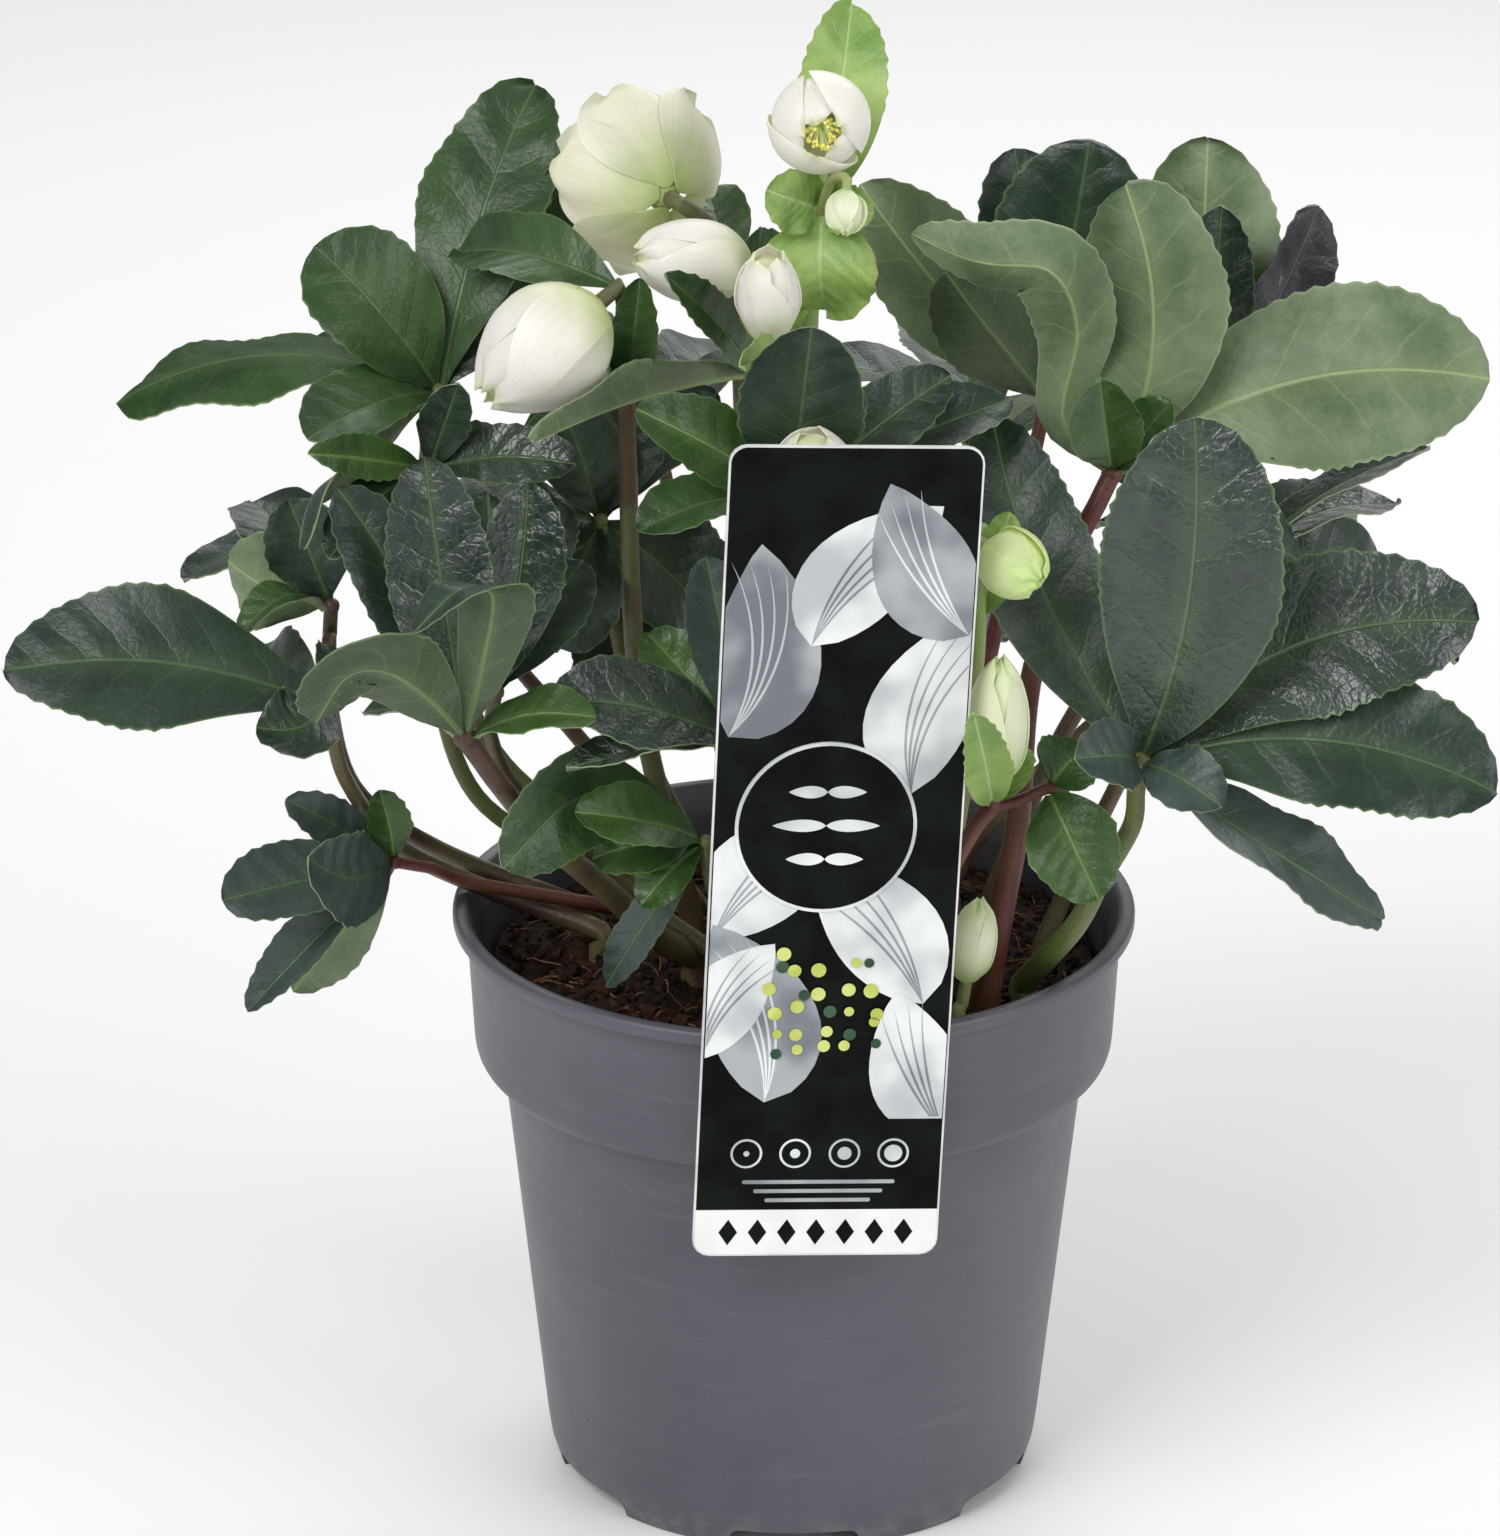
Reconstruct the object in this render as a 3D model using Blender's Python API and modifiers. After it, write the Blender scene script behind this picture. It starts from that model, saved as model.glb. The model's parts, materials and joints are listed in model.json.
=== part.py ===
# Hellebore in its grower's pot: pot, soil, label, compound leaves, flower stalks and blooms.
import math
import random

import bpy
import bmesh
from mathutils import Quaternion, Vector
from mathutils.bvhtree import BVHTree

# All sizes are in millimetres and become metres when a mesh is written.
MM = 0.001
SEED = 7

# Pot
LIP_RADIUS = 60.0
POT_HEIGHT = 106.0
LIP_DEPTH = 2.4
COLLAR_RADIUS = 56.6
COLLAR_FOOT_RADIUS = 54.0
COLLAR_FOOT = 77.8
WALL_TOP_RADIUS = 51.4
WALL_FOOT_RADIUS = 44.2
WALL = 1.3
FOOT_HEIGHT = 4.0
FOOT_RADIUS = 42.3
FOOT_RING = 3.4
ARCH_WIDTH = 23.0
ARCH_COUNT = 3
POT_STEPS = 24
DRAIN_RADIUS = 3.2
DRAIN_CIRCLE = 29.0
DRAIN_COUNT = 6

# Soil
SOIL_TOP = 96.0
SOIL_ROUGHNESS = 1.1
SOIL_STEPS = 16
ROOT_DEPTH = 8.0
HOLE_SIDES = 6

# Label
LABEL_WIDTH = 41.9
LABEL_LENGTH = 145.4
LABEL_THICKNESS = 0.7
LABEL_CORNER = 3.0
LABEL_CENTRE = (6.5, -60.75, 138.8)
LABEL_ROLL = 2.6
LABEL_YAW = 6.4
LABEL_LEAN = 0.4
TONGUE_WIDTH = 12.0
TONGUE_THICKNESS = 0.9
HOOK_REACH = 8.8
HOOK_FOOT = 98.6

# Flowers: how far out each petal lies over the next, and the stamens
PETAL_LAYERS = (0.75, 0.5, 0.05, -0.35, -0.6)
PETAL_STEP = 0.12
STAMEN_COUNT = 6
STAMEN_KNOB = 1.2
KNOB_FLAT = 0.4

# Play that neighbouring pieces keep, and the thickness of leaves and petals
PLAY = 0.3
LEAF_THICKNESS = 0.8
PETAL_THICKNESS = 0.8
HUB_RADIUS = 2.0
BLADE_START = 1.1
LONG_BLADE = 44.0
SHORT_BLADE = 22.0
NARROW_BLADE = 18.5
TOOTH = 0.7

# Viewpoint: distances and angles that turn a picture position and a depth into a point
PHOTO_FOCAL = 6872.0
PHOTO_CENTRE_X = 750.0
PHOTO_CENTRE_Y = 768.0
PITCH = math.radians(21.66)
LOOK_AT = Vector((-7.7, 0.0, 131.0))
CAMERA_DISTANCE = 1200.0
VIEW_AHEAD = Vector((0.0, math.cos(PITCH), -math.sin(PITCH)))
VIEW_UP = Vector((0.0, math.sin(PITCH), math.cos(PITCH)))
CAMERA = LOOK_AT - VIEW_AHEAD * CAMERA_DISTANCE

# The pot's axis lies this far from the middle of the plant's box, where the origin is
AXIS_X = 7.4
AXIS_Y = -15.0


def seen(px, py, depth):
    """Point at y = depth that the photograph shows at column px, row py."""
    ray = VIEW_AHEAD.copy()
    ray += VIEW_UP * ((PHOTO_CENTRE_Y - py) / PHOTO_FOCAL)
    ray += Vector((1.0, 0.0, 0.0)) * ((px - PHOTO_CENTRE_X) / PHOTO_FOCAL)
    return CAMERA + ray * ((depth - CAMERA.y) / ray.y)


def slide(point, distance):
    """The point moved along its line of sight, away from the viewer."""
    return point + (point - CAMERA).normalized() * distance


# Leaves

def leaf(tip, width, roll=0.0, bow=2.0, side=0.0, cup=18.0, via=(), widest=0.58, tone="dark"):
    """One leaflet: its tip as (column, row, depth), its width and how it is turned and bent."""
    return {
        "tip": seen(*tip),
        "via": [seen(*point) for point in via],
        "width": width,
        "roll": roll,
        "bow": bow,
        "side": side,
        "cup": cup,
        "widest": widest,
        "tone": tone,
    }


def fan(hub, azimuth, rise, reach, width, count=5, droop=8.0, tone="dark"):
    """Leaflets that spread from a hub like a hand, round the compass direction azimuth."""
    leaves = []
    for number in range(count):
        share = number / (count - 1) * 2.0 - 1.0
        turn = math.radians(azimuth + 105.0 * share)
        length = reach * (1.0 - 0.28 * abs(share))
        climb = math.radians(rise + 14.0 * math.cos(number * 2.4))
        tip = Vector((math.cos(turn) * math.cos(climb), math.sin(turn) * math.cos(climb), math.sin(climb)))
        leaves.append({
            "tip": hub + tip * length,
            "via": [],
            "width": width * (1.0 - 0.22 * abs(share)),
            "roll": None,
            "bow": droop,
            "side": 0.0,
            "cup": 14.0,
            "widest": 0.58,
            "tone": tone,
        })
    return leaves


# Fronds: where the hub lies, where the stalk stands in the soil and how it gets there
FRONDS = [
    {
        "name": "frond_low_left", "hub": seen(395, 862, -14), "root": (-27, 6), "radius": 1.3, "stalk": True,
        "path": [seen(432, 868, -12), seen(480, 884, -6)],
        "leaves": [
            leaf((222, 900, -24), 15, roll=20, bow=2, tone="grey"),
            leaf((310, 858, -34), 17, roll=-8, bow=2, side=-3, tone="grey"),
            leaf((247, 1011, -24), 11, roll=25, bow=2, cup=38, tone="grey"),
            leaf((293, 990, -16), 12, roll=172, bow=-1, cup=10, tone="under"),
            leaf((286, 800, -4), 9, roll=15, tone="grey"),
            leaf((380, 790, -10), 8, roll=10, tone="bright"),
        ],
    },
    {
        "name": "frond_left", "hub": seen(326, 702, -30), "root": (-34, -2), "radius": 1.6, "stalk": True,
        "path": [seen(346, 780, -24), seen(398, 846, -2), seen(490, 890, 4)],
        "leaves": [
            leaf((3, 670, -34), 27, roll=30, bow=4, side=2, cup=10, tone="dark"),
            leaf((256, 726, -40), 15, roll=15, bow=3, side=-3, tone="dark"),
            leaf((345, 655, -18), 12, roll=10, tone="dark"),
            leaf((225, 690, 6), 20, roll=50, bow=4, tone="dark"),
        ],
    },
    {
        "name": "frond_arch", "hub": seen(331, 606, -10), "root": (-37, 8), "radius": 1.6, "stalk": True,
        "path": [seen(329, 650, -8), seen(330, 706, -4), seen(356, 790, 4), seen(440, 850, 12)],
        "leaves": [
            leaf((240, 634, -22), 9, roll=60, bow=5, tone="mid"),
            leaf((228, 560, -26), 19, roll=150, bow=-2, cup=10, tone="under"),
            leaf((288, 500, -20), 15, roll=0, bow=2, tone="dark"),
            leaf((250, 500, 12), 18, roll=30, bow=4, tone="dark"),
        ],
    },
    {
        "name": "frond_front", "hub": seen(465, 738, -54), "root": (-17, -14), "radius": 2.2, "stalk": True,
        "path": [seen(500, 785, -50), seen(545, 838, -42), seen(604, 888, -30), seen(662, 940, -20)],
        "leaves": [
            leaf((316, 722, -70), 16, roll=168, cup=8, tone="under",
                 via=[(428, 696, -62), (385, 668, -72), (345, 674, -75)]),
            leaf((414, 634, -76), 13, roll=172, cup=8, tone="under",
                 via=[(484, 660, -60), (494, 590, -64), (458, 588, -73)]),
            leaf((337, 488, -44), 15, roll=8, bow=2, side=2, tone="dark"),
            leaf((424, 457, -46), 18, roll=-6, bow=2, tone="gloss"),
            leaf((362, 712, -52), 9, roll=62, bow=3, tone="dark"),
            leaf((596, 716, -60), 11, roll=-50, bow=3, tone="bright"),
        ],
    },
    {
        "name": "frond_purple", "hub": seen(496, 692, -44), "root": (-9, -21), "radius": 1.5, "stalk": True,
        "path": [seen(489, 730, -42), seen(508, 778, -37), seen(560, 832, -29), seen(640, 900, -22)],
        "leaves": [
            leaf((528, 482, -40), 15, roll=4, bow=2, side=1, tone="gloss"),
            leaf((583, 560, -30), 14, roll=-12, bow=2, tone="dark"),
            leaf((487, 492, -28), 12, roll=5, bow=2, tone="dark"),
            leaf((560, 505, -8), 14, roll=-20, bow=3, tone="dark"),
        ],
    },
    {
        "name": "frond_upper_left", "hub": seen(440, 392, 2), "root": (-19, 16), "radius": 1.7, "stalk": True,
        "path": [seen(428, 440, 4), seen(430, 560, 8), seen(500, 760, 14)],
        "leaves": [
            leaf((535, 84, 14), 23, roll=-20, bow=3, side=-1, cup=12, tone="mid"),
            leaf((606, 112, -4), 14, roll=10, cup=14, tone="mid",
                 via=[(500, 316, 7), (552, 206, 6)]),
            leaf((313, 248, 4), 24, roll=30, bow=3, cup=12, tone="mid"),
            leaf((117, 405, -8), 24, roll=64, bow=9, cup=-12, tone="mid"),
            leaf((308, 440, -24), 17, roll=45, bow=4, tone="mid"),
            leaf((356, 490, -34), 12, roll=118, bow=3, cup=25, tone="under"),
            leaf((478, 296, 14), 15, roll=0, bow=2, tone="dark"),
            leaf((297, 352, 14), 10, roll=30, bow=3, tone="dark"),
        ],
    },
    {
        "name": "frond_inner_left", "hub": seen(428, 470, -16), "root": (-27, 17), "radius": 1.5, "stalk": False,
        "path": [seen(424, 520, -8), seen(430, 640, 4), seen(480, 800, 10)],
        "leaves": [
            leaf((208, 606, -30), 17, roll=118, cup=-14, tone="under",
                 via=[(372, 484, -18), (300, 470, -24), (232, 515, -29)]),
            leaf((292, 592, -30), 15, roll=35, bow=4, tone="dark"),
            leaf((458, 384, -26), 9, roll=0, bow=1, tone="dark"),
            leaf((576, 464, -30), 12, roll=-30, bow=4, tone="gloss"),
            leaf((264, 448, -32), 11, roll=20, bow=2, tone="bright"),
            leaf((508, 440, -6), 9, roll=-20, bow=2, tone="dark"),
        ],
    },
    {
        "name": "frond_middle_left", "hub": seen(600, 520, 6), "root": (-11, 8), "radius": 1.5, "stalk": False,
        "path": [seen(610, 600, 6), seen(650, 760, 4)],
        "leaves": [
            leaf((500, 545, -6), 16, roll=30, bow=4, tone="dark"),
            leaf((560, 400, 2), 15, roll=10, bow=3, tone="dark"),
            leaf((648, 380, 2), 15, roll=-5, bow=3, tone="dark"),
            leaf((735, 372, 4), 15, roll=-25, bow=3, tone="dark"),
            leaf((700, 610, -6), 22, roll=-20, bow=4, tone="dark"),
            leaf((560, 650, -10), 19, roll=10, bow=4, tone="dark"),
            leaf((646, 716, 10), 23, roll=-4, bow=3, tone="dark"),
        ],
    },
    {
        "name": "frond_centre", "hub": seen(790, 500, -30), "root": (2, -10), "radius": 1.5, "stalk": False,
        "path": [seen(800, 640, -22), seen(800, 800, -16)],
        "leaves": [
            leaf((812, 326, -26), 21, roll=0, bow=2, cup=10, tone="dark"),
            leaf((637, 408, -40), 14, roll=25, bow=3, tone="bright"),
            leaf((637, 530, -46), 13, roll=45, bow=4, tone="mid"),
            leaf((950, 376, -24), 14, roll=-20, bow=3, tone="dark"),
            leaf((1012, 398, -32), 15, roll=-35, bow=3, tone="dark"),
            leaf((900, 600, -44), 16, roll=-40, bow=4, tone="dark"),
        ],
    },
    {
        "name": "frond_lower_centre", "hub": seen(742, 742, -46), "root": (-1, -27), "radius": 1.4, "stalk": False,
        "path": [seen(752, 830, -40)],
        "leaves": [
            leaf((548, 700, -54), 18, roll=38, bow=4, cup=14, tone="gloss"),
            leaf((566, 768, -60), 10, roll=62, bow=2, tone="gloss"),
            leaf((706, 556, -42), 12, roll=4, bow=2, tone="grey"),
            leaf((648, 634, -30), 12, roll=12, bow=2, tone="bright"),
            leaf((900, 690, -40), 14, roll=-25, bow=3, tone="mid"),
        ],
    },
    {
        "name": "frond_young", "hub": seen(706, 842, -42), "root": (-9, -32), "radius": 1.3, "stalk": False,
        "path": [seen(710, 880, -40)],
        "leaves": [
            leaf((470, 872, -38), 21, roll=22, bow=3, tone="mid", via=[(590, 792, -30), (540, 800, -34)]),
            leaf((575, 812, -52), 12, roll=30, bow=3, tone="bright"),
            leaf((592, 858, -50), 12, roll=25, bow=3, tone="bright"),
            leaf((606, 985, -38), 8, roll=20, bow=2, tone="grey"),
            leaf((640, 905, -48), 9, roll=20, bow=2, tone="bright"),
        ],
    },
    {
        "name": "frond_right", "hub": seen(1140, 762, -46), "root": (40, -24), "radius": 2.0, "stalk": True,
        "path": [seen(1132, 826, -45), seen(1104, 874, -42), seen(1076, 925, -38)],
        "leaves": [
            leaf((994, 420, -27), 21, roll=12, bow=2, side=-4, cup=12, tone="dark"),
            leaf((1194, 418, -52), 31, roll=-4, bow=3, side=4, cup=8, tone="gloss"),
            leaf((1478, 622, -42), 27, roll=-14, bow=4, side=-7, cup=12, tone="gloss"),
            leaf((1497, 794, -56), 25, roll=-22, bow=5, side=-5, cup=10, tone="dark"),
            leaf((1382, 920, -48), 17, roll=-42, bow=5, side=4, tone="grey"),
            leaf((1076, 758, -62), 13, roll=20, bow=3, tone="grey"),
            leaf((1222, 806, -62), 12, roll=-20, bow=3, tone="grey"),
        ],
    },
    {
        "name": "frond_upper_right", "hub": seen(1112, 474, -8), "root": (33, -30), "radius": 2.1, "stalk": True,
        "path": [seen(1070, 560, -14), seen(1031, 680, -24), seen(1018, 820, -31), seen(1002, 910, -33)],
        "leaves": [
            leaf((1126, 184, -14), 25, roll=176, bow=-2, side=-6, cup=8, widest=0.62, tone="under"),
            leaf((1490, 380, -18), 31, roll=168, bow=-4, side=7, cup=8, widest=0.62, tone="under"),
            leaf((914, 232, -16), 15, roll=170, cup=12, tone="under",
                 via=[(1062, 420, -12), (1076, 330, -16), (1050, 268, -22), (980, 258, -22)]),
            leaf((1100, 380, -24), 13, roll=0, bow=2, tone="bright"),
            leaf((1172, 402, -20), 10, roll=-20, bow=2, tone="mid"),
            leaf((1300, 562, 6), 15, roll=-20, bow=3, tone="dark"),
        ],
    },
    {
        "name": "frond_back_right", "hub": seen(1046, 400, 22), "root": (26, 6), "radius": 1.6, "stalk": False,
        "path": [seen(1020, 520, 16), seen(980, 700, 10)],
        "leaves": [
            leaf((1090, 140, 16), 29, roll=0, bow=3, cup=8, tone="dark"),
            leaf((1014, 148, 28), 20, roll=10, bow=3, tone="dark"),
            leaf((946, 272, 12), 18, roll=176, bow=-2, cup=10, tone="under"),
            leaf((862, 184, 24), 22, roll=160, bow=-4, cup=10, tone="under"),
            leaf((1010, 240, 50), 22, roll=10, bow=4, tone="dark"),
        ],
    },
    {
        "name": "frond_far_right", "hub": seen(1206, 428, 24), "root": (34, 6), "radius": 1.6, "stalk": False,
        "path": [seen(1170, 560, 18), seen(1060, 740, 10)],
        "leaves": [
            leaf((1208, 138, 30), 27, roll=172, bow=-4, cup=10, tone="under"),
            leaf((1222, 206, 14), 14, roll=0, bow=2, tone="gloss"),
            leaf((1320, 206, 24), 15, roll=30, bow=3, tone="purple"),
            leaf((1330, 276, 30), 14, roll=20, bow=4, tone="purple"),
            leaf((1290, 300, 60), 22, roll=0, bow=4, tone="dark"),
        ],
    },
    {
        "name": "frond_side_right", "hub": seen(1236, 560, 6), "root": (44, -6), "radius": 1.5, "stalk": False,
        "path": [seen(1200, 640, 6), seen(1120, 780, 0)],
        "leaves": [
            leaf((1422, 492, 2), 17, roll=-56, bow=4, tone="gloss"),
            leaf((1430, 446, 16), 10, roll=-60, bow=3, tone="dark"),
            leaf((1318, 486, 10), 10, roll=-15, bow=2, tone="dark"),
            leaf((1318, 542, -14), 15, roll=-10, bow=2, tone="dark"),
            leaf((1400, 600, 30), 20, roll=-60, bow=5, tone="dark"),
        ],
    },
]


def rear_frond(name, hub, root, azimuth, rise, reach, width, count=4):
    """A frond on the far side, spread by rule."""
    hub = Vector(hub)
    knee = Vector((root[0], root[1], SOIL_TOP + 18.0)).lerp(Vector((hub.x, hub.y, SOIL_TOP + 18.0)), 0.2)
    return {
        "name": name, "hub": hub, "root": root, "radius": 1.6, "stalk": False,
        "path": [knee],
        "leaves": fan(hub, azimuth, rise, reach, width, count),
    }


FRONDS += [
    rear_frond("frond_rear_left", (-62, 34, 153), (-21, 26), 158, 4, 52, 23),
    rear_frond("frond_rear_inner", (-24, 56, 171), (-8, 30), 100, 14, 50, 24),
    rear_frond("frond_rear_right", (34, 62, 167), (10, 30), 62, 10, 52, 24),
    rear_frond("frond_rear_far", (76, 36, 147), (28, 20), 22, 2, 48, 22),
    rear_frond("frond_rear_low", (8, 66, 129), (1, 22), 88, -6, 46, 20),
]


# Flower stalks with their bracts, and what each one carries
def bract(base, tip, width, **shape):
    """One bract: where it leaves the stalk, and then as a leaflet."""
    shape.setdefault("tone", "bract")
    shape.setdefault("widest", 0.5)
    piece = leaf(tip, width, **shape)
    piece["base"] = seen(*base)
    return piece


FLOWER_STALKS = [
    {
        "name": "flower_stalk_top", "root": (8, 4), "radius": 1.9, "carries": "bloom_globe",
        "path": [seen(802, 700, 0), seen(806, 420, 2), seen(812, 240, 0), seen(810, 172, 0)],
        "branches": [("bloom_hanging", [seen(812, 204, 0), seen(828, 186, -12)], 0.8)],
        "bracts": [
            bract((811, 178, 0), (852, 2, 8), 16, roll=8, bow=3, cup=22),
            bract((812, 184, 0), (826, 312, -26), 21, roll=8, bow=4, cup=20),
            bract((812, 182, 0), (766, 190, -16), 12, roll=0, bow=2, cup=20),
            bract((812, 184, 0), (874, 214, -14), 9, roll=-10, bow=2, cup=20),
        ],
    },
    {
        "name": "flower_stalk_half_open", "root": (0, -4), "radius": 2.0, "carries": "bloom_half_open",
        "path": [seen(770, 720, -4), seen(768, 480, -14)],
        "branches": [],
        "bracts": [
            bract((772, 376, -18), (742, 366, -34), 10, roll=10, bow=2, cup=22),
            bract((772, 376, -18), (800, 262, -16), 9, roll=0, bow=2, cup=26),
            bract((772, 384, -18), (744, 258, -15), 9, roll=0, bow=2, cup=26),
        ],
    },
    {
        "name": "flower_stalk_open", "root": (-4, 18), "radius": 1.7, "carries": "bloom_open",
        "path": [seen(740, 640, 16), seen(742, 400, 16), seen(724, 250, 8)],
        "branches": [],
        "bracts": [
            bract((736, 300, 12), (706, 184, 20), 12, roll=10, bow=2, cup=16, tone="mid"),
            bract((740, 320, 13), (786, 250, 22), 11, roll=0, bow=2, cup=16, tone="mid"),
        ],
    },
    {
        "name": "flower_stalk_egg", "root": (-4, 9), "radius": 1.8, "carries": "bloom_egg",
        "path": [seen(742, 620, 4), seen(744, 420, 4), seen(764, 312, 2)],
        "branches": [],
        "bracts": [
            bract((748, 372, 0), (530, 440, -46), 12, roll=118, bow=3, cup=30, tone="under"),
            bract((752, 366, 0), (666, 274, -22), 9, roll=30, bow=3, cup=26, tone="mid"),
        ],
    },
    {
        "name": "flower_stalk_tulip", "root": (-18, 4), "radius": 1.8, "carries": "bloom_tulip",
        "path": [seen(640, 700, -2), seen(628, 460, -8), seen(628, 330, -13)],
        "branches": [],
        "bracts": [
            bract((622, 292, -12), (458, 250, -2), 15, roll=30, bow=5, cup=24),
            bract((628, 352, -13), (506, 440, -48), 10, roll=100, bow=3, cup=34, tone="mid"),
            bract((628, 360, -13), (640, 278, -34), 9, roll=0, bow=3, cup=26, tone="mid"),
        ],
    },
    {
        "name": "flower_stalk_green", "root": (23, -25), "radius": 1.7, "carries": "bloom_green",
        "path": [seen(960, 800, -32), seen(976, 660, -38), seen(978, 580, -42)],
        "branches": [],
        "bracts": [
            bract((977, 590, -42), (1010, 512, -40), 9, roll=0, bow=2, cup=24),
            bract((977, 594, -42), (972, 520, -50), 8, roll=20, bow=2, cup=24),
        ],
    },
    {
        "name": "flower_stalk_pale", "root": (20, -33), "radius": 1.7, "carries": "bloom_pale",
        "path": [seen(938, 900, -43), seen(972, 832, -47)],
        "branches": [("bloom_side", [seen(984, 815, -47), seen(1020, 800, -45), seen(1048, 788, -43)], 1.0)],
        "bracts": [
            bract((986, 806, -47), (974, 714, -57), 9, roll=10, bow=2, cup=26),
            bract((986, 806, -47), (1026, 746, -54), 8, roll=-10, bow=2, cup=26),
            bract((1040, 792, -44), (1098, 898, -54), 16, roll=0, bow=3, cup=16, tone="bright"),
            bract((1040, 792, -44), (1084, 750, -40), 12, roll=-10, bow=3, cup=18, tone="bright"),
        ],
    },
    {
        "name": "flower_stalk_low", "root": (28, -37), "radius": 1.4, "carries": "bloom_low",
        "path": [],
        "branches": [],
        "bracts": [],
    },
    {
        "name": "flower_stalk_hidden", "root": (8, -28), "radius": 1.6, "carries": "bloom_hidden",
        "path": [seen(832, 800, -34), seen(826, 620, -38)],
        "branches": [],
        "bracts": [
            bract((826, 560, -40), (870, 480, -36), 9, roll=0, bow=2, cup=20),
            bract((826, 560, -40), (780, 560, -46), 9, roll=0, bow=2, cup=20),
        ],
    },
]

# Profiles of the flowers: (share of the length, share of the radius)
TULIP = [(0.0, 0.16), (0.10, 0.62), (0.34, 0.98), (0.62, 0.94), (0.86, 0.60), (1.0, 0.16)]
EGG = [(0.0, 0.16), (0.08, 0.56), (0.30, 0.96), (0.62, 0.96), (0.90, 0.60), (1.0, 0.14)]
GLOBE = [(0.0, 0.16), (0.06, 0.55), (0.30, 0.98), (0.62, 0.98), (0.88, 0.66), (1.0, 0.34)]
OPEN = [(0.0, 0.10), (0.12, 0.34), (0.36, 0.68), (0.70, 0.92), (1.0, 1.02)]
HALF_OPEN = [(0.0, 0.16), (0.10, 0.60), (0.42, 1.0), (0.75, 0.88), (1.0, 0.46)]


def bloom(name, base, tip, radius, profile, spin=0.0, stamens=False, steps=(4, 3)):
    """One flower or bud: both ends as (column, row, depth), its radius and the form of its petals."""
    return {
        "name": name,
        "base": seen(*base),
        "tip": seen(*tip),
        "radius": radius,
        "profile": profile,
        "spin": spin,
        "stamens": stamens,
        "steps": steps,
    }


BLOOMS = [
    bloom("bloom_globe", (818, 110, -4), (822, 136, -19), 8.2, GLOBE, spin=20, stamens=True, steps=(3, 2)),
    bloom("bloom_open", (670, 198, -1), (628, 172, 13), 15.5, OPEN, spin=8, stamens=True, steps=(3, 2)),
    bloom("bloom_tulip", (600, 302, -18), (486, 398, -30), 10.6, TULIP, spin=30, steps=(6, 4)),
    bloom("bloom_egg", (750, 266, -4), (636, 256, -13), 7.2, EGG, spin=12),
    bloom("bloom_half_open", (770, 342, -21), (768, 254, -25), 5.4, HALF_OPEN, spin=40),
    bloom("bloom_hanging", (846, 190, -21), (846, 234, -26), 2.9, EGG, steps=(4, 3)),
    bloom("bloom_green", (988, 548, -45), (1040, 580, -54), 5.6, EGG),
    bloom("bloom_pale", (994, 786, -48), (1000, 660, -54), 5.4, EGG, spin=15),
    bloom("bloom_side", (1060, 812, -42), (1044, 878, -46), 3.4, EGG, steps=(4, 3)),
    bloom("bloom_low", (966, 982, -37), (980, 900, -38), 4.0, EGG, spin=15, steps=(4, 3)),
    bloom("bloom_hidden", (816, 520, -42), (812, 440, -50), 7.5, GLOBE, spin=18, steps=(4, 3)),
]


# Curves and sheets

def smooth_path(points, count):
    """Points spread evenly along a smooth curve through the given ones."""
    fine = []
    last = len(points) - 1
    for number in range(last):
        before = points[max(number - 1, 0)]
        start = points[number]
        end = points[number + 1]
        after = points[min(number + 2, last)]
        for step in range(12):
            share = step / 12.0
            bend = (2.0 * before - 5.0 * start + 4.0 * end - after) * share ** 2
            curl = (3.0 * start - before - 3.0 * end + after) * share ** 3
            fine.append(0.5 * (2.0 * start + (end - before) * share + bend + curl))
    fine.append(points[last].copy())
    lengths = [0.0]
    for first, second in zip(fine, fine[1:]):
        lengths.append(lengths[-1] + (second - first).length)
    path = []
    index = 0
    for number in range(count + 1):
        target = lengths[-1] * number / count
        while index < len(lengths) - 2 and lengths[index + 1] < target:
            index += 1
        share = (target - lengths[index]) / max(lengths[index + 1] - lengths[index], 1e-9)
        path.append(fine[index].lerp(fine[index + 1], min(share, 1.0)))
    return path


def blade_frames(base, piece, swing, scale, rows):
    """Stations along a blade: point, upper normal and direction across."""
    tip = slide(base.lerp(piece["tip"], scale), swing)
    via = []
    for number, point in enumerate(piece["via"]):
        share = (number + 1) / (len(piece["via"]) + 1)
        via.append(slide(base.lerp(point, scale), swing * share))
    chord = ((via[0] if via else tip) - base).normalized()
    base = base + chord * BLADE_START
    if piece["roll"] is None:
        normal = Vector((0.0, 0.0, 1.0))
        turn = 0.0
    else:
        normal = (CAMERA - base).normalized()
        turn = math.radians(piece["roll"])
    normal = (normal - chord * normal.dot(chord)).normalized()
    normal.rotate(Quaternion(chord, turn))
    across = chord.cross(normal)
    path = smooth_path([base] + via + [tip], rows)
    if not via:
        for number, point in enumerate(path):
            arch = 4.0 * number / rows * (1.0 - number / rows)
            path[number] = point + (normal * piece["bow"] + across * piece["side"]) * arch
    frames = []
    for number, point in enumerate(path):
        ahead = path[min(number + 1, rows)] - path[max(number - 1, 0)]
        ahead.normalize()
        normal = (normal - ahead * normal.dot(ahead)).normalized()
        frames.append((point, normal, ahead.cross(normal)))
    return frames


def half_width(piece, share, scale):
    """Half the blade's width at a share of its length, without its teeth."""
    power = math.log(0.5) / math.log(piece["widest"])
    swell = math.sin(math.pi * min(max(share, 0.0), 1.0) ** power) if 0.0 < share < 1.0 else 0.0
    return max(0.5 * piece["width"] * scale * swell ** 0.72, 0.55)


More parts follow.
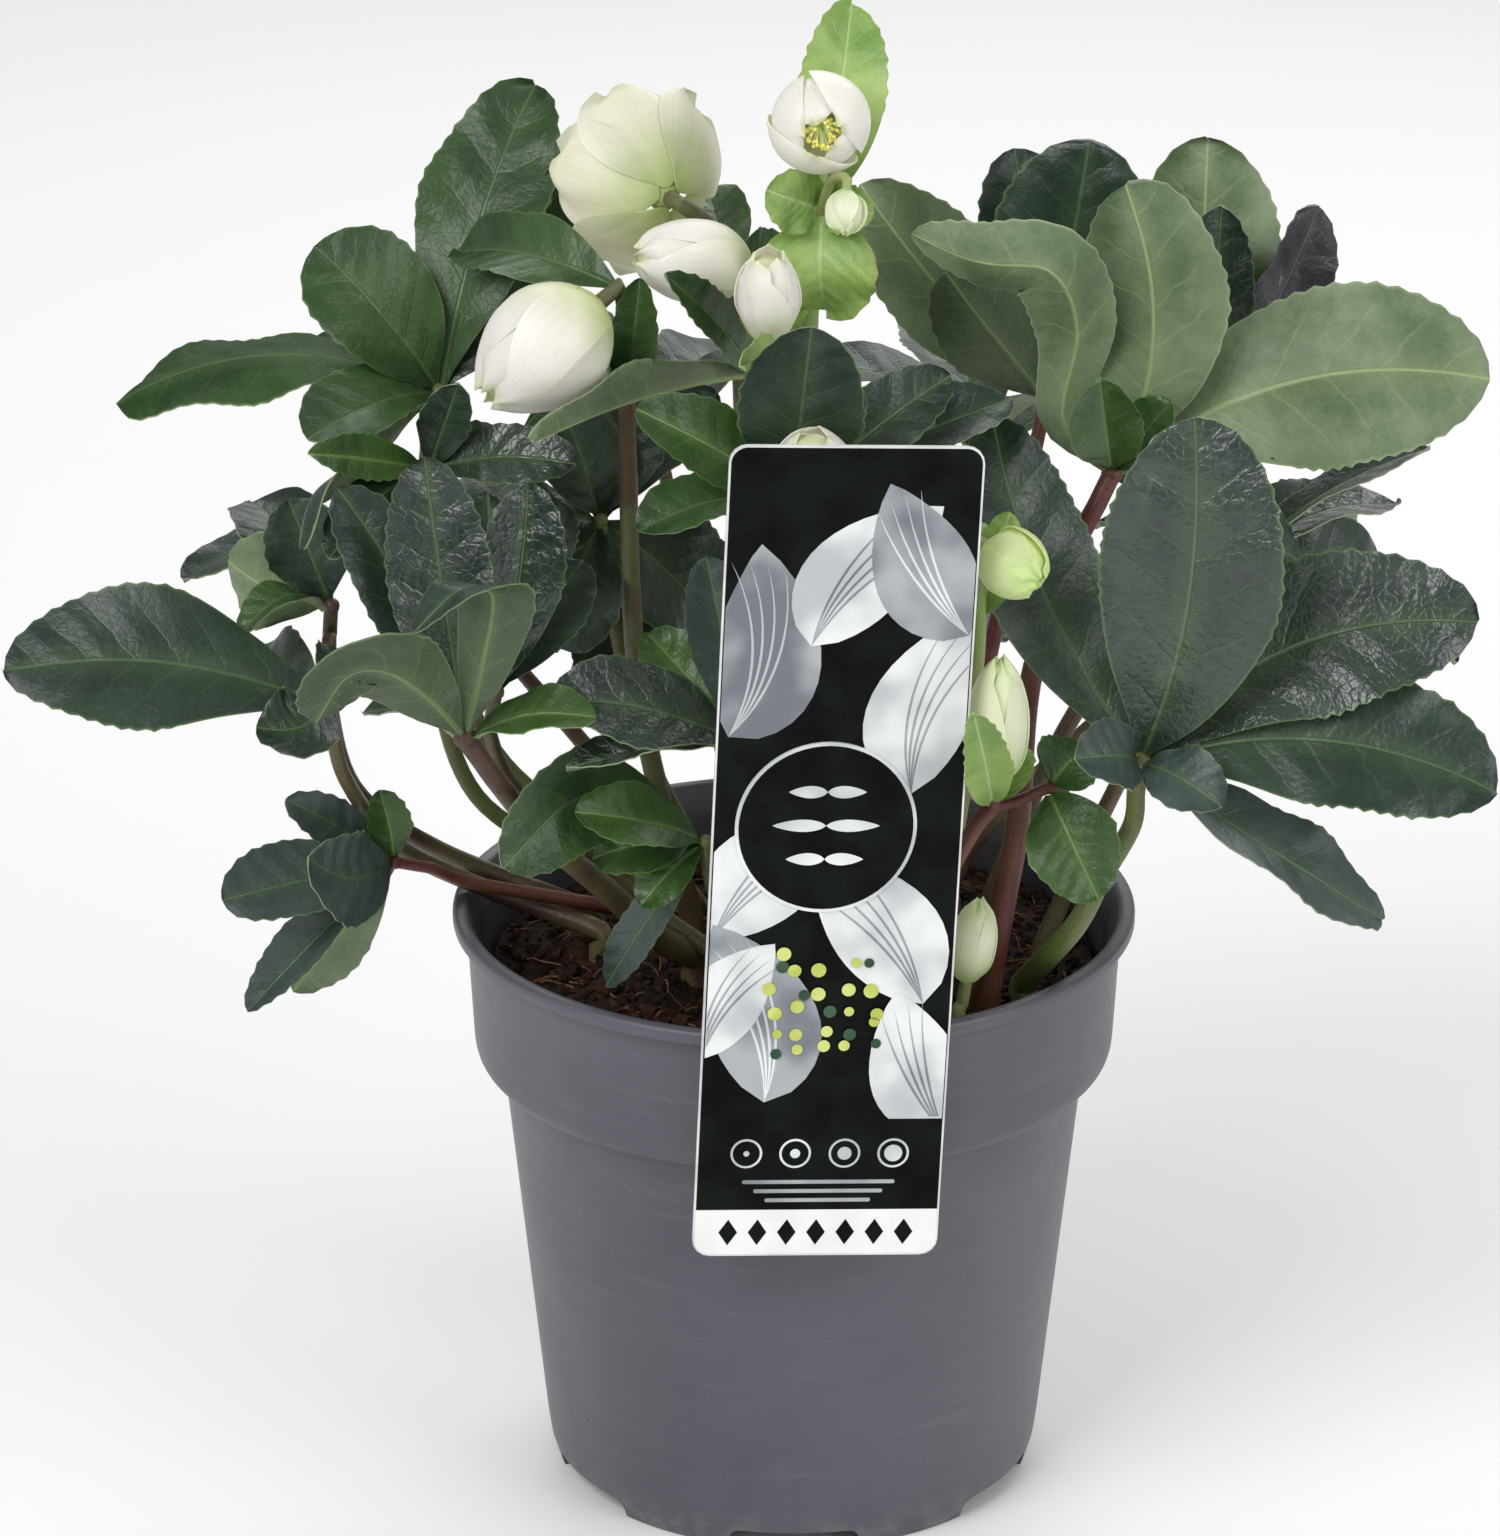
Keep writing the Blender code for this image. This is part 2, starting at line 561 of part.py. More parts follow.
def blade_grid(base, piece, swing=0.0, scale=1.0):
    """Points of a coarse blade, both edges and, on all but the narrow ones, the midrib."""
    grid = []
    length = (piece["tip"] - base).length
    rows = 5 if length > LONG_BLADE and piece["roll"] is not None else 4
    if piece["via"]:
        rows = 5
    elif length < SHORT_BLADE:
        rows = 3
    frames = blade_frames(base, piece, swing, scale, rows)
    folded = piece["width"] > NARROW_BLADE
    fold = math.radians(piece["cup"]) if folded else 0.0
    for number, (point, normal, across) in enumerate(frames):
        half = half_width(piece, number / rows, scale)
        if 2 <= number < rows:
            half += TOOTH if number % 2 else -0.4 * TOOTH
        spread = across * (half * math.cos(fold))
        lift = normal * (half * math.sin(fold))
        middle = [point.copy()] if folded else []
        grid.append([point - spread + lift] + middle + [point + spread + lift])
    return grid


def sheet_normals(grid):
    """Upper normals of a grid of points, each the mean of the faces round it."""
    rows = len(grid)
    columns = len(grid[0])
    normals = [[Vector((0.0, 0.0, 0.0)) for _ in range(columns)] for _ in range(rows)]
    for row in range(rows - 1):
        for column in range(columns - 1):
            one = grid[row + 1][column + 1] - grid[row][column]
            two = grid[row][column + 1] - grid[row + 1][column]
            facing = two.cross(one)
            for down, over in ((0, 0), (0, 1), (1, 0), (1, 1)):
                normals[row + down][column + over] += facing
    return [[normal.normalized() for normal in line] for line in normals]


def sheet_solid(grid, thickness):
    """Closed solid round a grid of points, split into triangles alike on both faces."""
    rows = len(grid)
    columns = len(grid[0])
    normals = sheet_normals(grid)
    layer = rows * columns
    points = []
    for side in (0.5, -0.5):
        for row in range(rows):
            for column in range(columns):
                points.append(grid[row][column] + normals[row][column] * (thickness * side))
    faces = []
    for row in range(rows - 1):
        for column in range(columns - 1):
            near = row * columns + column
            far = near + columns
            for triangle in ((near, near + 1, far + 1), (near, far + 1, far)):
                faces.append(triangle)
                faces.append(tuple(layer + corner for corner in reversed(triangle)))
    rim = [row * columns for row in range(rows)]
    rim += [(rows - 1) * columns + column for column in range(1, columns)]
    rim += [row * columns + columns - 1 for row in range(rows - 2, -1, -1)]
    rim += [column for column in range(columns - 2, 0, -1)]
    for here, there in zip(rim, rim[1:] + rim[:1]):
        faces.append((here, there, there + layer))
        faces.append((here, there + layer, here + layer))
    return points, faces


def petal_grid(flower, number, rows, columns):
    """Points of one petal, wrapped round the flower's axis."""
    base, along, first, second, length = bloom_frame(flower)
    is_open = flower["profile"] is OPEN
    middle = math.radians(flower["spin"] + 147.0 * number)
    layer = PETAL_LAYERS[number]
    wide = math.radians(50.0 if is_open else 62.0)
    grid = []
    for row in range(rows + 1):
        share = row / rows
        height, radius = profile_at(flower["profile"], 0.04 + 0.96 * share)
        reach = max(radius * flower["radius"] + layer * min(share * 4.0, 1.0), 0.8 + 0.4 * layer)
        swell = math.sin(math.pi * share ** 0.85) ** 0.6 if 0.0 < share < 1.0 else 0.0
        span = wide * (0.3 + 0.7 * swell)
        line = []
        for column in range(columns + 1):
            angle = middle + span * (2.0 * column / columns - 1.0)
            out = first * math.cos(angle) + second * math.sin(angle)
            line.append(base + along * (height * length) + out * reach)
        grid.append(line)
    return grid


def bloom_frame(flower):
    """Base, axis, two directions across and length of a flower."""
    axis = flower["tip"] - flower["base"]
    along = axis.normalized()
    first = along.orthogonal().normalized()
    return flower["base"], along, first, along.cross(first), axis.length


def profile_at(profile, share):
    """Height and radius at a share of the way along a flower's profile."""
    place = share * (len(profile) - 1)
    index = min(int(place), len(profile) - 2)
    low = profile[index]
    high = profile[index + 1]
    part = place - index
    return low[0] + (high[0] - low[0]) * part, low[1] + (high[1] - low[1]) * part


# Making objects

def clear_scene():
    """Remove what the file starts with."""
    for item in list(bpy.data.objects):
        bpy.data.objects.remove(item, do_unlink=True)


def new_collection(name):
    collection = bpy.data.collections.new(name)
    bpy.context.scene.collection.children.link(collection)
    return collection


def material(name, colour, roughness):
    """Plain Principled material."""
    made = bpy.data.materials.get(name)
    if made is None:
        made = bpy.data.materials.new(name)
        made.use_nodes = True
        shader = made.node_tree.nodes["Principled BSDF"]
        shader.inputs["Base Color"].default_value = (*colour, 1.0)
        shader.inputs["Roughness"].default_value = roughness
        shader.inputs["Metallic"].default_value = 0.0
    return made


def object_from(name, points, faces, collection):
    """Mesh object from points in millimetres round the pot's axis."""
    shift = Vector((AXIS_X, AXIS_Y, 0.0))
    mesh = bpy.data.meshes.new(name)
    mesh.from_pydata([(point + shift) * MM for point in points], [], faces)
    mesh.update()
    made = bpy.data.objects.new(name, mesh)
    collection.objects.link(made)
    return made


def evaluated_mesh(item):
    """The item's mesh with its modifiers applied."""
    graph = bpy.context.evaluated_depsgraph_get()
    return bpy.data.meshes.new_from_object(item.evaluated_get(graph))


def bake(item):
    """Apply all modifiers of an object."""
    mesh = evaluated_mesh(item)
    old = item.data
    item.modifiers.clear()
    item.data = mesh
    bpy.data.meshes.remove(old)


def keep_largest_body(item):
    """Drop loose scraps and fill sealed hollows, which are bodies of their own."""
    frame = bmesh.new()
    frame.from_mesh(item.data)
    bmesh.ops.triangulate(frame, faces=frame.faces)
    frame.faces.ensure_lookup_table()
    unseen = set(range(len(frame.faces)))
    bodies = []
    while unseen:
        first = min(unseen)
        body = {first}
        search = [frame.faces[first]]
        while search:
            face = search.pop()
            for edge in face.edges:
                for other in edge.link_faces:
                    if other.index not in body:
                        body.add(other.index)
                        search.append(other)
        bodies.append(body)
        unseen -= body
    bodies.sort(key=len)
    scraps = [frame.faces[index] for body in bodies[:-1] for index in body]
    bmesh.ops.delete(frame, geom=scraps, context="FACES")
    whole = all(edge.is_manifold for edge in frame.edges) and all(vertex.is_manifold for vertex in frame.verts)
    frame.to_mesh(item.data)
    frame.free()
    return whole


def join_by_union(item, parts):
    """Fuse all the parts into the item with one union."""
    collection = new_collection("joined_" + item.name)
    for part in parts:
        for owner in list(part.users_collection):
            owner.objects.unlink(part)
        collection.objects.link(part)
    union = item.modifiers.new("join", "BOOLEAN")
    union.operation = "UNION"
    union.operand_type = "COLLECTION"
    union.collection = collection
    start = item.data.copy()
    for solver in ("EXACT", "MANIFOLD"):
        union.solver = solver
        mesh = evaluated_mesh(item)
        item.modifiers.clear()
        item.data = mesh
        if keep_largest_body(item):
            break
        print(solver, "left an open edge in", item.name)
        if solver == "EXACT":
            item.data = start
            union = item.modifiers.new("join", "BOOLEAN")
            union.operation = "UNION"
            union.operand_type = "COLLECTION"
            union.collection = collection
    for part in list(collection.objects):
        bpy.data.objects.remove(part, do_unlink=True)
    bpy.data.collections.remove(collection)


def tube(name, points, radii, collection, resolution=1):
    """Tube through points in millimetres, as a closed mesh."""
    shift = Vector((AXIS_X, AXIS_Y, 0.0))
    curve = bpy.data.curves.new(name, "CURVE")
    curve.dimensions = "3D"
    curve.bevel_depth = MM
    curve.bevel_resolution = resolution
    curve.use_fill_caps = True
    spline = curve.splines.new("POLY")
    spline.points.add(len(points) - 1)
    for place, point, radius in zip(spline.points, points, radii):
        place.co = (*((point + shift) * MM), 1.0)
        place.radius = radius
    guide = bpy.data.objects.new(name, curve)
    collection.objects.link(guide)
    mesh = evaluated_mesh(guide)
    bpy.data.objects.remove(guide, do_unlink=True)
    bpy.data.curves.remove(curve)
    frame = bmesh.new()
    frame.from_mesh(mesh)
    bmesh.ops.remove_doubles(frame, verts=frame.verts, dist=1e-6)
    bmesh.ops.recalc_face_normals(frame, faces=frame.faces)
    bmesh.ops.triangulate(frame, faces=frame.faces)
    frame.to_mesh(mesh)
    frame.free()
    made = bpy.data.objects.new(name, mesh)
    collection.objects.link(made)
    return made


def ball(name, centre, radius, collection):
    """Small round knob."""
    frame = bmesh.new()
    bmesh.ops.create_icosphere(frame, subdivisions=1, radius=radius * MM)
    mesh = bpy.data.meshes.new(name)
    shift = Vector((AXIS_X, AXIS_Y, 0.0))
    bmesh.ops.translate(frame, verts=frame.verts, vec=(centre + shift) * MM)
    frame.to_mesh(mesh)
    frame.free()
    made = bpy.data.objects.new(name, mesh)
    collection.objects.link(made)
    return made


# Keeping neighbours clear of each other

PLACED = []


def bounds_of(points):
    low = [min(point[axis] for point in points) for axis in range(3)]
    high = [max(point[axis] for point in points) for axis in range(3)]
    return low, high


def place(node, points, faces, outer=None):
    """Remember a solid that later pieces must stay clear of."""
    PLACED.append((node, bounds_of(points), BVHTree.FromPolygons(points, faces), outer))


def place_object(node, item):
    """Remember an object's mesh, in millimetres round the pot's axis."""
    shift = Vector((AXIS_X, AXIS_Y, 0.0))
    points = [vertex.co / MM - shift for vertex in item.data.vertices]
    place(node, points, [tuple(face.vertices) for face in item.data.polygons])


def is_clear(node, points, faces, outer=None):
    """True where a solid meets no solid of another node, nor the outer part of its own blades."""
    low, high = bounds_of(points)
    tree = BVHTree.FromPolygons(points, faces)
    for other, (other_low, other_high), other_tree, other_outer in PLACED:
        if any(low[axis] > other_high[axis] or high[axis] < other_low[axis] for axis in range(3)):
            continue
        if other != node:
            if tree.overlap(other_tree):
                return False
        elif outer and other_outer:
            if outer.overlap(other_outer):
                return False
    return True


SWINGS = (0, 3, -3, 6, -6, 9, -9, 13, -13, 17, -17, 22, -22)


def outer_tree(grid, thickness):
    """Search tree of a blade's outer two thirds."""
    points, faces = sheet_solid(grid[len(grid) // 3:], thickness)
    return BVHTree.FromPolygons(points, faces)


def settle_blade(node, base, piece):
    """Bend a blade clear of what is already there."""
    for scale in (1.0, 0.86, 0.72, 0.58):
        for swing in SWINGS:
            grid = blade_grid(base, piece, swing, scale)
            points, faces = sheet_solid(grid, LEAF_THICKNESS + 2.0 * PLAY)
            outer = outer_tree(grid, LEAF_THICKNESS + 0.1)
            if is_clear(node, points, faces, outer):
                points, faces = sheet_solid(grid, LEAF_THICKNESS)
                place(node, points, faces, outer)
                return points, faces
    print("dropped a blade of", node)
    return None


def stalk_points(root, path, ends, count):
    """Route of a stalk: straight down in its hole, then a smooth curve to its end."""
    foot = Vector((root[0], root[1], SOIL_TOP - ROOT_DEPTH))
    collar = Vector((root[0], root[1], SOIL_TOP + 2.0))
    above = Vector((root[0], root[1], SOIL_TOP + 5.0))
    curve = smooth_path([collar, above] + list(path) + ends[:-1], count)
    return [foot] + curve + ends[-1:]


def settle_stalk(node, item, ends, count=6):
    """Tube of a stalk, its route bent clear of the others."""
    swings = (0, 2.5, -2.5, 5, -5, 8, -8, 11, -11, 15, -15)
    for first in swings:
        for second in swings:
            path = []
            for number, point in enumerate(item["path"]):
                share = number / max(len(item["path"]) - 1, 1)
                path.append(slide(point, first * (1.0 - share) + second * share))
            points = stalk_points(item["root"], path, ends, count)
            radii = [item["radius"] * (1.12 - 0.34 * number / len(points)) for number in range(len(points))]
            wide = tube("probe", points, [radius + PLAY for radius in radii], PARTS)
            shift = Vector((AXIS_X, AXIS_Y, 0.0))
            probe = [vertex.co / MM - shift for vertex in wide.data.vertices]
            faces = [tuple(face.vertices) for face in wide.data.polygons]
            bpy.data.objects.remove(wide, do_unlink=True)
            free = is_clear(node, probe, faces)
            if free:
                return points, radii
    print("no clear route for", node)
    return points, radii


# Pieces

def build_pot():
    """Turned pot with lip, collar, floor, feet and drain holes."""
    inner_top = LIP_RADIUS - 4.7
    profile = [
        (0.0, FOOT_HEIGHT + WALL),
        (WALL_FOOT_RADIUS - 4.5, FOOT_HEIGHT + WALL),
        (WALL_FOOT_RADIUS - 1.6, FOOT_HEIGHT + 3.6),
        (WALL_TOP_RADIUS - WALL, COLLAR_FOOT - 2.0),
        (COLLAR_FOOT_RADIUS - WALL, COLLAR_FOOT + 2.4),
        (inner_top, POT_HEIGHT - 5.0),
        (LIP_RADIUS - 2.6, POT_HEIGHT),
        (LIP_RADIUS - 0.5, POT_HEIGHT),
        (LIP_RADIUS, POT_HEIGHT - 0.6),
        (LIP_RADIUS, POT_HEIGHT - LIP_DEPTH),
        (COLLAR_RADIUS + 1.0, POT_HEIGHT - LIP_DEPTH - 0.8),
        (COLLAR_RADIUS - 0.2, COLLAR_FOOT + 3.2),
        (COLLAR_RADIUS - 0.8, COLLAR_FOOT + 1.6),
        (COLLAR_FOOT_RADIUS, COLLAR_FOOT),
        (WALL_TOP_RADIUS, COLLAR_FOOT - 1.2),
        (WALL_FOOT_RADIUS, FOOT_HEIGHT + 4.0),
        (WALL_FOOT_RADIUS - 0.5, FOOT_HEIGHT + 0.6),
        (FOOT_RADIUS, 0.0),
        (FOOT_RADIUS - FOOT_RING, 0.0),
        (FOOT_RADIUS - FOOT_RING, FOOT_HEIGHT),
        (0.0, FOOT_HEIGHT),
    ]
    mesh = bpy.data.meshes.new("pot")
    outward = math.cos(math.pi / POT_STEPS) ** -0.5
    points = [(radius * outward * MM, 0.0, height * MM) for radius, height in profile]
    mesh.from_pydata(points, [(index, index + 1) for index in range(len(points) - 1)], [])
    pot = bpy.data.objects.new("pot", mesh)
    PARTS.objects.link(pot)
    screw = pot.modifiers.new("turn", "SCREW")
    screw.axis = "Z"
    screw.steps = POT_STEPS
    screw.render_steps = POT_STEPS
    screw.use_merge_vertices = True
    screw.merge_threshold = 1e-5
    screw.use_normal_calculate = True
    bake(pot)
    frame = bmesh.new()
    frame.from_mesh(pot.data)
    bmesh.ops.translate(frame, verts=frame.verts, vec=(AXIS_X * MM, AXIS_Y * MM, 0.0))
    bmesh.ops.recalc_face_normals(frame, faces=frame.faces)
    frame.to_mesh(pot.data)
    frame.free()
    for number in range(ARCH_COUNT):
        cut(pot, arch_cutter(number))
    for number in range(DRAIN_COUNT):
        angle = 2.0 * math.pi * (number + 0.57) / DRAIN_COUNT
        cut(pot, post_cutter("drain", math.cos(angle) * DRAIN_CIRCLE, math.sin(angle) * DRAIN_CIRCLE,
                             DRAIN_RADIUS, FOOT_HEIGHT - 2.0, FOOT_HEIGHT + WALL + 2.0))
    bake(pot)
    drop_cutters()
    keep_largest_body(pot)
    pot.data.materials.append(material("pot", (0.14, 0.135, 0.16), 0.42))
    return pot


def cut(item, cutter):
    """Cut one solid out of another."""
    boolean = item.modifiers.new("cut", "BOOLEAN")
    boolean.operation = "DIFFERENCE"
    boolean.solver = "EXACT"
    boolean.object = cutter


def finish_cutter(made):
    made.hide_render = True
    made.display_type = "WIRE"
    return made


def arch_cutter(number):
    """Box across the whole foot ring that leaves an arch on both sides."""
    frame = bmesh.new()
    bmesh.ops.create_cube(frame, size=1.0)
    length = 2.0 * FOOT_RADIUS + 8.0
    height = FOOT_HEIGHT - 0.4
    bmesh.ops.scale(frame, vec=(ARCH_WIDTH * MM, length * MM, 2.0 * height * MM), verts=frame.verts)
    turn = Quaternion((0.0, 0.0, 1.0), math.pi * number / ARCH_COUNT)
    bmesh.ops.rotate(frame, cent=(0.0, 0.0, 0.0), matrix=turn.to_matrix(), verts=frame.verts)
    bmesh.ops.translate(frame, verts=frame.verts, vec=(AXIS_X * MM, AXIS_Y * MM, 0.0))
    mesh = bpy.data.meshes.new("arch")
    frame.to_mesh(mesh)
    frame.free()
    made = bpy.data.objects.new("arch", mesh)
    CUTTERS.objects.link(made)
    return finish_cutter(made)


def post_cutter(name, x, y, radius, low, high, sides=8):
    """Upright round cutter."""
    frame = bmesh.new()
    bmesh.ops.create_cone(frame, cap_ends=True, segments=sides, radius1=radius * MM, radius2=radius * MM,
                          depth=(high - low) * MM)
    middle = (AXIS_X + x, AXIS_Y + y, 0.5 * (low + high))
    bmesh.ops.translate(frame, verts=frame.verts, vec=[value * MM for value in middle])
    mesh = bpy.data.meshes.new(name)
    frame.to_mesh(mesh)
    frame.free()
    made = bpy.data.objects.new(name, mesh)
    CUTTERS.objects.link(made)
    return finish_cutter(made)


def drop_cutters():
    for item in list(CUTTERS.objects):
        bpy.data.objects.remove(item, do_unlink=True)


def build_soil(roots):
    """Plug of soil that fills the pot, rough on top, with a plain hole for each stalk."""
    rng = random.Random(SEED)
    rings = [15.0, 31.0, 47.5]
    wall = [
        (COLLAR_RADIUS - 3.9, SOIL_TOP - 0.5),
        (COLLAR_FOOT_RADIUS - WALL - 0.6, COLLAR_FOOT + 3.4),
        (WALL_TOP_RADIUS - WALL - 0.9, COLLAR_FOOT - 2.4),
        (WALL_FOOT_RADIUS - 3.0, FOOT_HEIGHT + 4.6),
        (WALL_FOOT_RADIUS - 5.6, FOOT_HEIGHT + WALL + PLAY),
    ]
    points = [Vector((0.0, 0.0, SOIL_TOP + 0.8))]
    for radius in rings:
        for step in range(SOIL_STEPS):
            angle = 2.0 * math.pi * step / SOIL_STEPS
            reach = radius + rng.uniform(-1.2, 1.2)
            height = SOIL_TOP + rng.uniform(-SOIL_ROUGHNESS, SOIL_ROUGHNESS) - 1.2 * (radius / 47.5) ** 2
            points.append(Vector((math.cos(angle) * reach, math.sin(angle) * reach, height)))
    for radius, height in wall:
        for step in range(SOIL_STEPS):
            angle = 2.0 * math.pi * step / SOIL_STEPS
            points.append(Vector((math.cos(angle) * radius, math.sin(angle) * radius, height)))
    points.append(Vector((0.0, 0.0, FOOT_HEIGHT + WALL + PLAY)))
    faces = []
    ring_count = len(rings) + len(wall)
    for step in range(SOIL_STEPS):
        after = (step + 1) % SOIL_STEPS
        faces.append((0, 1 + step, 1 + after))
        for ring in range(ring_count - 1):
            near = 1 + ring * SOIL_STEPS
            far = near + SOIL_STEPS
            faces.append((near + step, far + step, far + after))
            faces.append((near + step, far + after, near + after))
        last = 1 + (ring_count - 1) * SOIL_STEPS
        faces.append((last + step, len(points) - 1, last + after))
    soil = object_from("soil", points, faces, PARTS)
    for x, y, radius in roots:
        wide = (radius + 2.0 * PLAY) / math.cos(math.pi / HOLE_SIDES)
        cut(soil, post_cutter("hole", x, y, wide, SOIL_TOP - ROOT_DEPTH - PLAY, SOIL_TOP + 5.0, HOLE_SIDES))
    bake(soil)
    drop_cutters()
    keep_largest_body(soil)
    soil.data.materials.append(material("soil", (0.028, 0.014, 0.010), 0.95))
    return soil


def plate(name, outline, thickness):
    """Flat plate in the XZ plane, with its outline in millimetres."""
    frame = bmesh.new()
    corners = [frame.verts.new((x, -0.5 * thickness, z)) for x, z in outline]
    face = frame.faces.new(corners)
    grown = bmesh.ops.extrude_face_region(frame, geom=[face])
    back = [item for item in grown["geom"] if isinstance(item, bmesh.types.BMVert)]
    bmesh.ops.translate(frame, verts=back, vec=(0.0, thickness, 0.0))
    bmesh.ops.recalc_face_normals(frame, faces=frame.faces)
    mesh = bpy.data.meshes.new(name)
    frame.to_mesh(mesh)
    frame.free()
    return mesh


def box_outline(left, right, low, high):
    return [(left, low), (right, low), (right, high), (left, high)]


def rounded_outline(width, length, radius, steps=4):
    """Rectangle with round corners, as (x, z) points."""
    points = []
    for corner, (side, end) in enumerate(((1, 1), (-1, 1), (-1, -1), (1, -1))):
        for step in range(steps + 1):
            angle = math.radians(90.0 * (corner + step / steps))
            x = side * (0.5 * width - radius) + radius * math.cos(angle)
            z = end * (0.5 * length - radius) + radius * math.sin(angle)
            points.append((x, z))
    return points


def build_label():
    """Upright label with a hook behind it that goes over the pot's lip."""
    yaw = Quaternion((0.0, 0.0, 1.0), math.radians(LABEL_YAW))
    lean = Quaternion((1.0, 0.0, 0.0), math.radians(LABEL_LEAN))
    roll = Quaternion((0.0, 1.0, 0.0), math.radians(LABEL_ROLL))
    label = bpy.data.objects.new(
        "label", plate("label", rounded_outline(LABEL_WIDTH, LABEL_LENGTH, LABEL_CORNER), LABEL_THICKNESS))
    PARTS.objects.link(label)
    put(label, yaw @ lean @ roll, Vector(LABEL_CENTRE))
    below = LABEL_CENTRE[2] - POT_HEIGHT - PLAY
    seat = below * math.tan(math.radians(LABEL_LEAN))
    low = POT_HEIGHT + PLAY
    high = low + TONGUE_THICKNESS
    left = -0.5 * TONGUE_WIDTH
    right = 0.5 * TONGUE_WIDTH
    bridge = bpy.data.objects.new("bridge", plate("bridge", box_outline(left, right, low, high), HOOK_REACH))
    leg = bpy.data.objects.new("leg", plate("leg", box_outline(left, right, HOOK_FOOT, high), TONGUE_THICKNESS))
    flat = Vector((LABEL_CENTRE[0], LABEL_CENTRE[1] + seat, 0.0))
    for item, back in ((bridge, 0.5 * HOOK_REACH), (leg, HOOK_REACH - 0.5 * TONGUE_THICKNESS)):
        PARTS.objects.link(item)
        put(item, yaw, flat + yaw @ Vector((0.0, back, 0.0)))
    join_by_union(label, [bridge, leg])
    label.data.materials.append(material("label", (0.02, 0.02, 0.02), 0.4))
    return label


def put(item, turn, centre):
    """Turn and move an object's mesh, whose points are in millimetres, to its place in metres."""
    shift = Vector((AXIS_X, AXIS_Y, 0.0))
    for vertex in item.data.vertices:
        vertex.co = (turn @ vertex.co + centre + shift) * MM


def bud_solid(flower):
    """Closed bud: petals that overlap by a step, raised from its surface by a formula."""
    base, along, first, second, length = bloom_frame(flower)
    rows, columns = flower["steps"]
    sides = 5 * columns
    points = [base.copy()]
    for row in range(rows + 1):
        share = 0.06 + 0.90 * row / rows
        height, radius = profile_at(flower["profile"], share)
        for side in range(sides):
            petal, place = divmod(side, columns)
            overlap = 1.0 + PETAL_STEP * (0.5 - place / (columns - 1))
            crest = 0.04 * length * share * math.cos(2.0 * math.pi * place / columns) * share
            angle = 2.0 * math.pi * side / sides + math.radians(flower["spin"])
            out = first * math.cos(angle) + second * math.sin(angle)
            reach = max(radius * flower["radius"], 0.8) * overlap
            points.append(base + along * (height * length - crest) + out * reach)
    points.append(base + along * length)
    last = len(points) - 1
    faces = []
    for side in range(sides):
        after = (side + 1) % sides
        faces.append((0, 1 + after, 1 + side))
        for ring in range(rows):
            near = 1 + ring * sides
            far = near + sides
            faces.append((near + side, near + after, far + after))
            faces.append((near + side, far + after, far + side))
        top = 1 + rows * sides
        faces.append((top + side, top + after, last))
    return object_from(flower["name"], points, faces, PARTS)


def receptacle_radius(flower):
    """Radius of the knob that holds an open flower's petals, a little wider than their feet."""
    return profile_at(flower["profile"], 0.04)[1] * flower["radius"] + 0.9


def build_bloom(flower):
    """A flower: five petals in two layers on a small receptacle, or a closed bud."""
    base, along, first, second, length = bloom_frame(flower)
    rows, columns = flower["steps"]
    if flower["stamens"]:
        knob = receptacle_radius(flower)
        item = ball(flower["name"], base + along * (0.9 * knob), knob, PARTS)
        petals = []
        for number in range(5):
            points, faces = sheet_solid(petal_grid(flower, number, rows, columns), PETAL_THICKNESS)
            petals.append(object_from("petal", points, faces, PARTS))
        join_by_union(item, petals)
    else:
        item = bud_solid(flower)
    item.data.materials.append(material("petal", (0.86, 0.85, 0.80), 0.5))
    place_object(flower["name"], item)
    return item


def build_stamens(flower):
    """Bunch of stamens round the middle of an open flower."""
    base, along, first, second, length = bloom_frame(flower)
    node = flower["name"] + "_stamens"
    middle = base + along * (1.9 * receptacle_radius(flower) - KNOB_FLAT + STAMEN_KNOB)
    item = ball(node, middle, STAMEN_KNOB, PARTS)
    threads = []
    for number in range(STAMEN_COUNT):
        angle = 2.0 * math.pi * number / STAMEN_COUNT
        out = first * math.cos(angle) + second * math.sin(angle)
        end = middle + along * (0.34 * length) + out * (2.4 + 0.6 * (number % 2))
        threads.append(tube("thread", [middle, end], [0.4, 0.75], PARTS, resolution=0))
    join_by_union(item, threads)
    item.data.materials.append(material("stamens", (0.62, 0.56, 0.10), 0.7))
    place_object(node, item)
    return item


def flower_named(name):
    return next(flower for flower in BLOOMS if flower["name"] == name)


def stalk_neck(flower):
    """The last two points of a stalk, in line with its flower's axis and just short of it."""
    base, along, first, second, length = bloom_frame(flower)
    neck = min(4.0, 0.25 * length)
    return [base - along * (PLAY + neck), base - along * (PLAY + 0.6)]


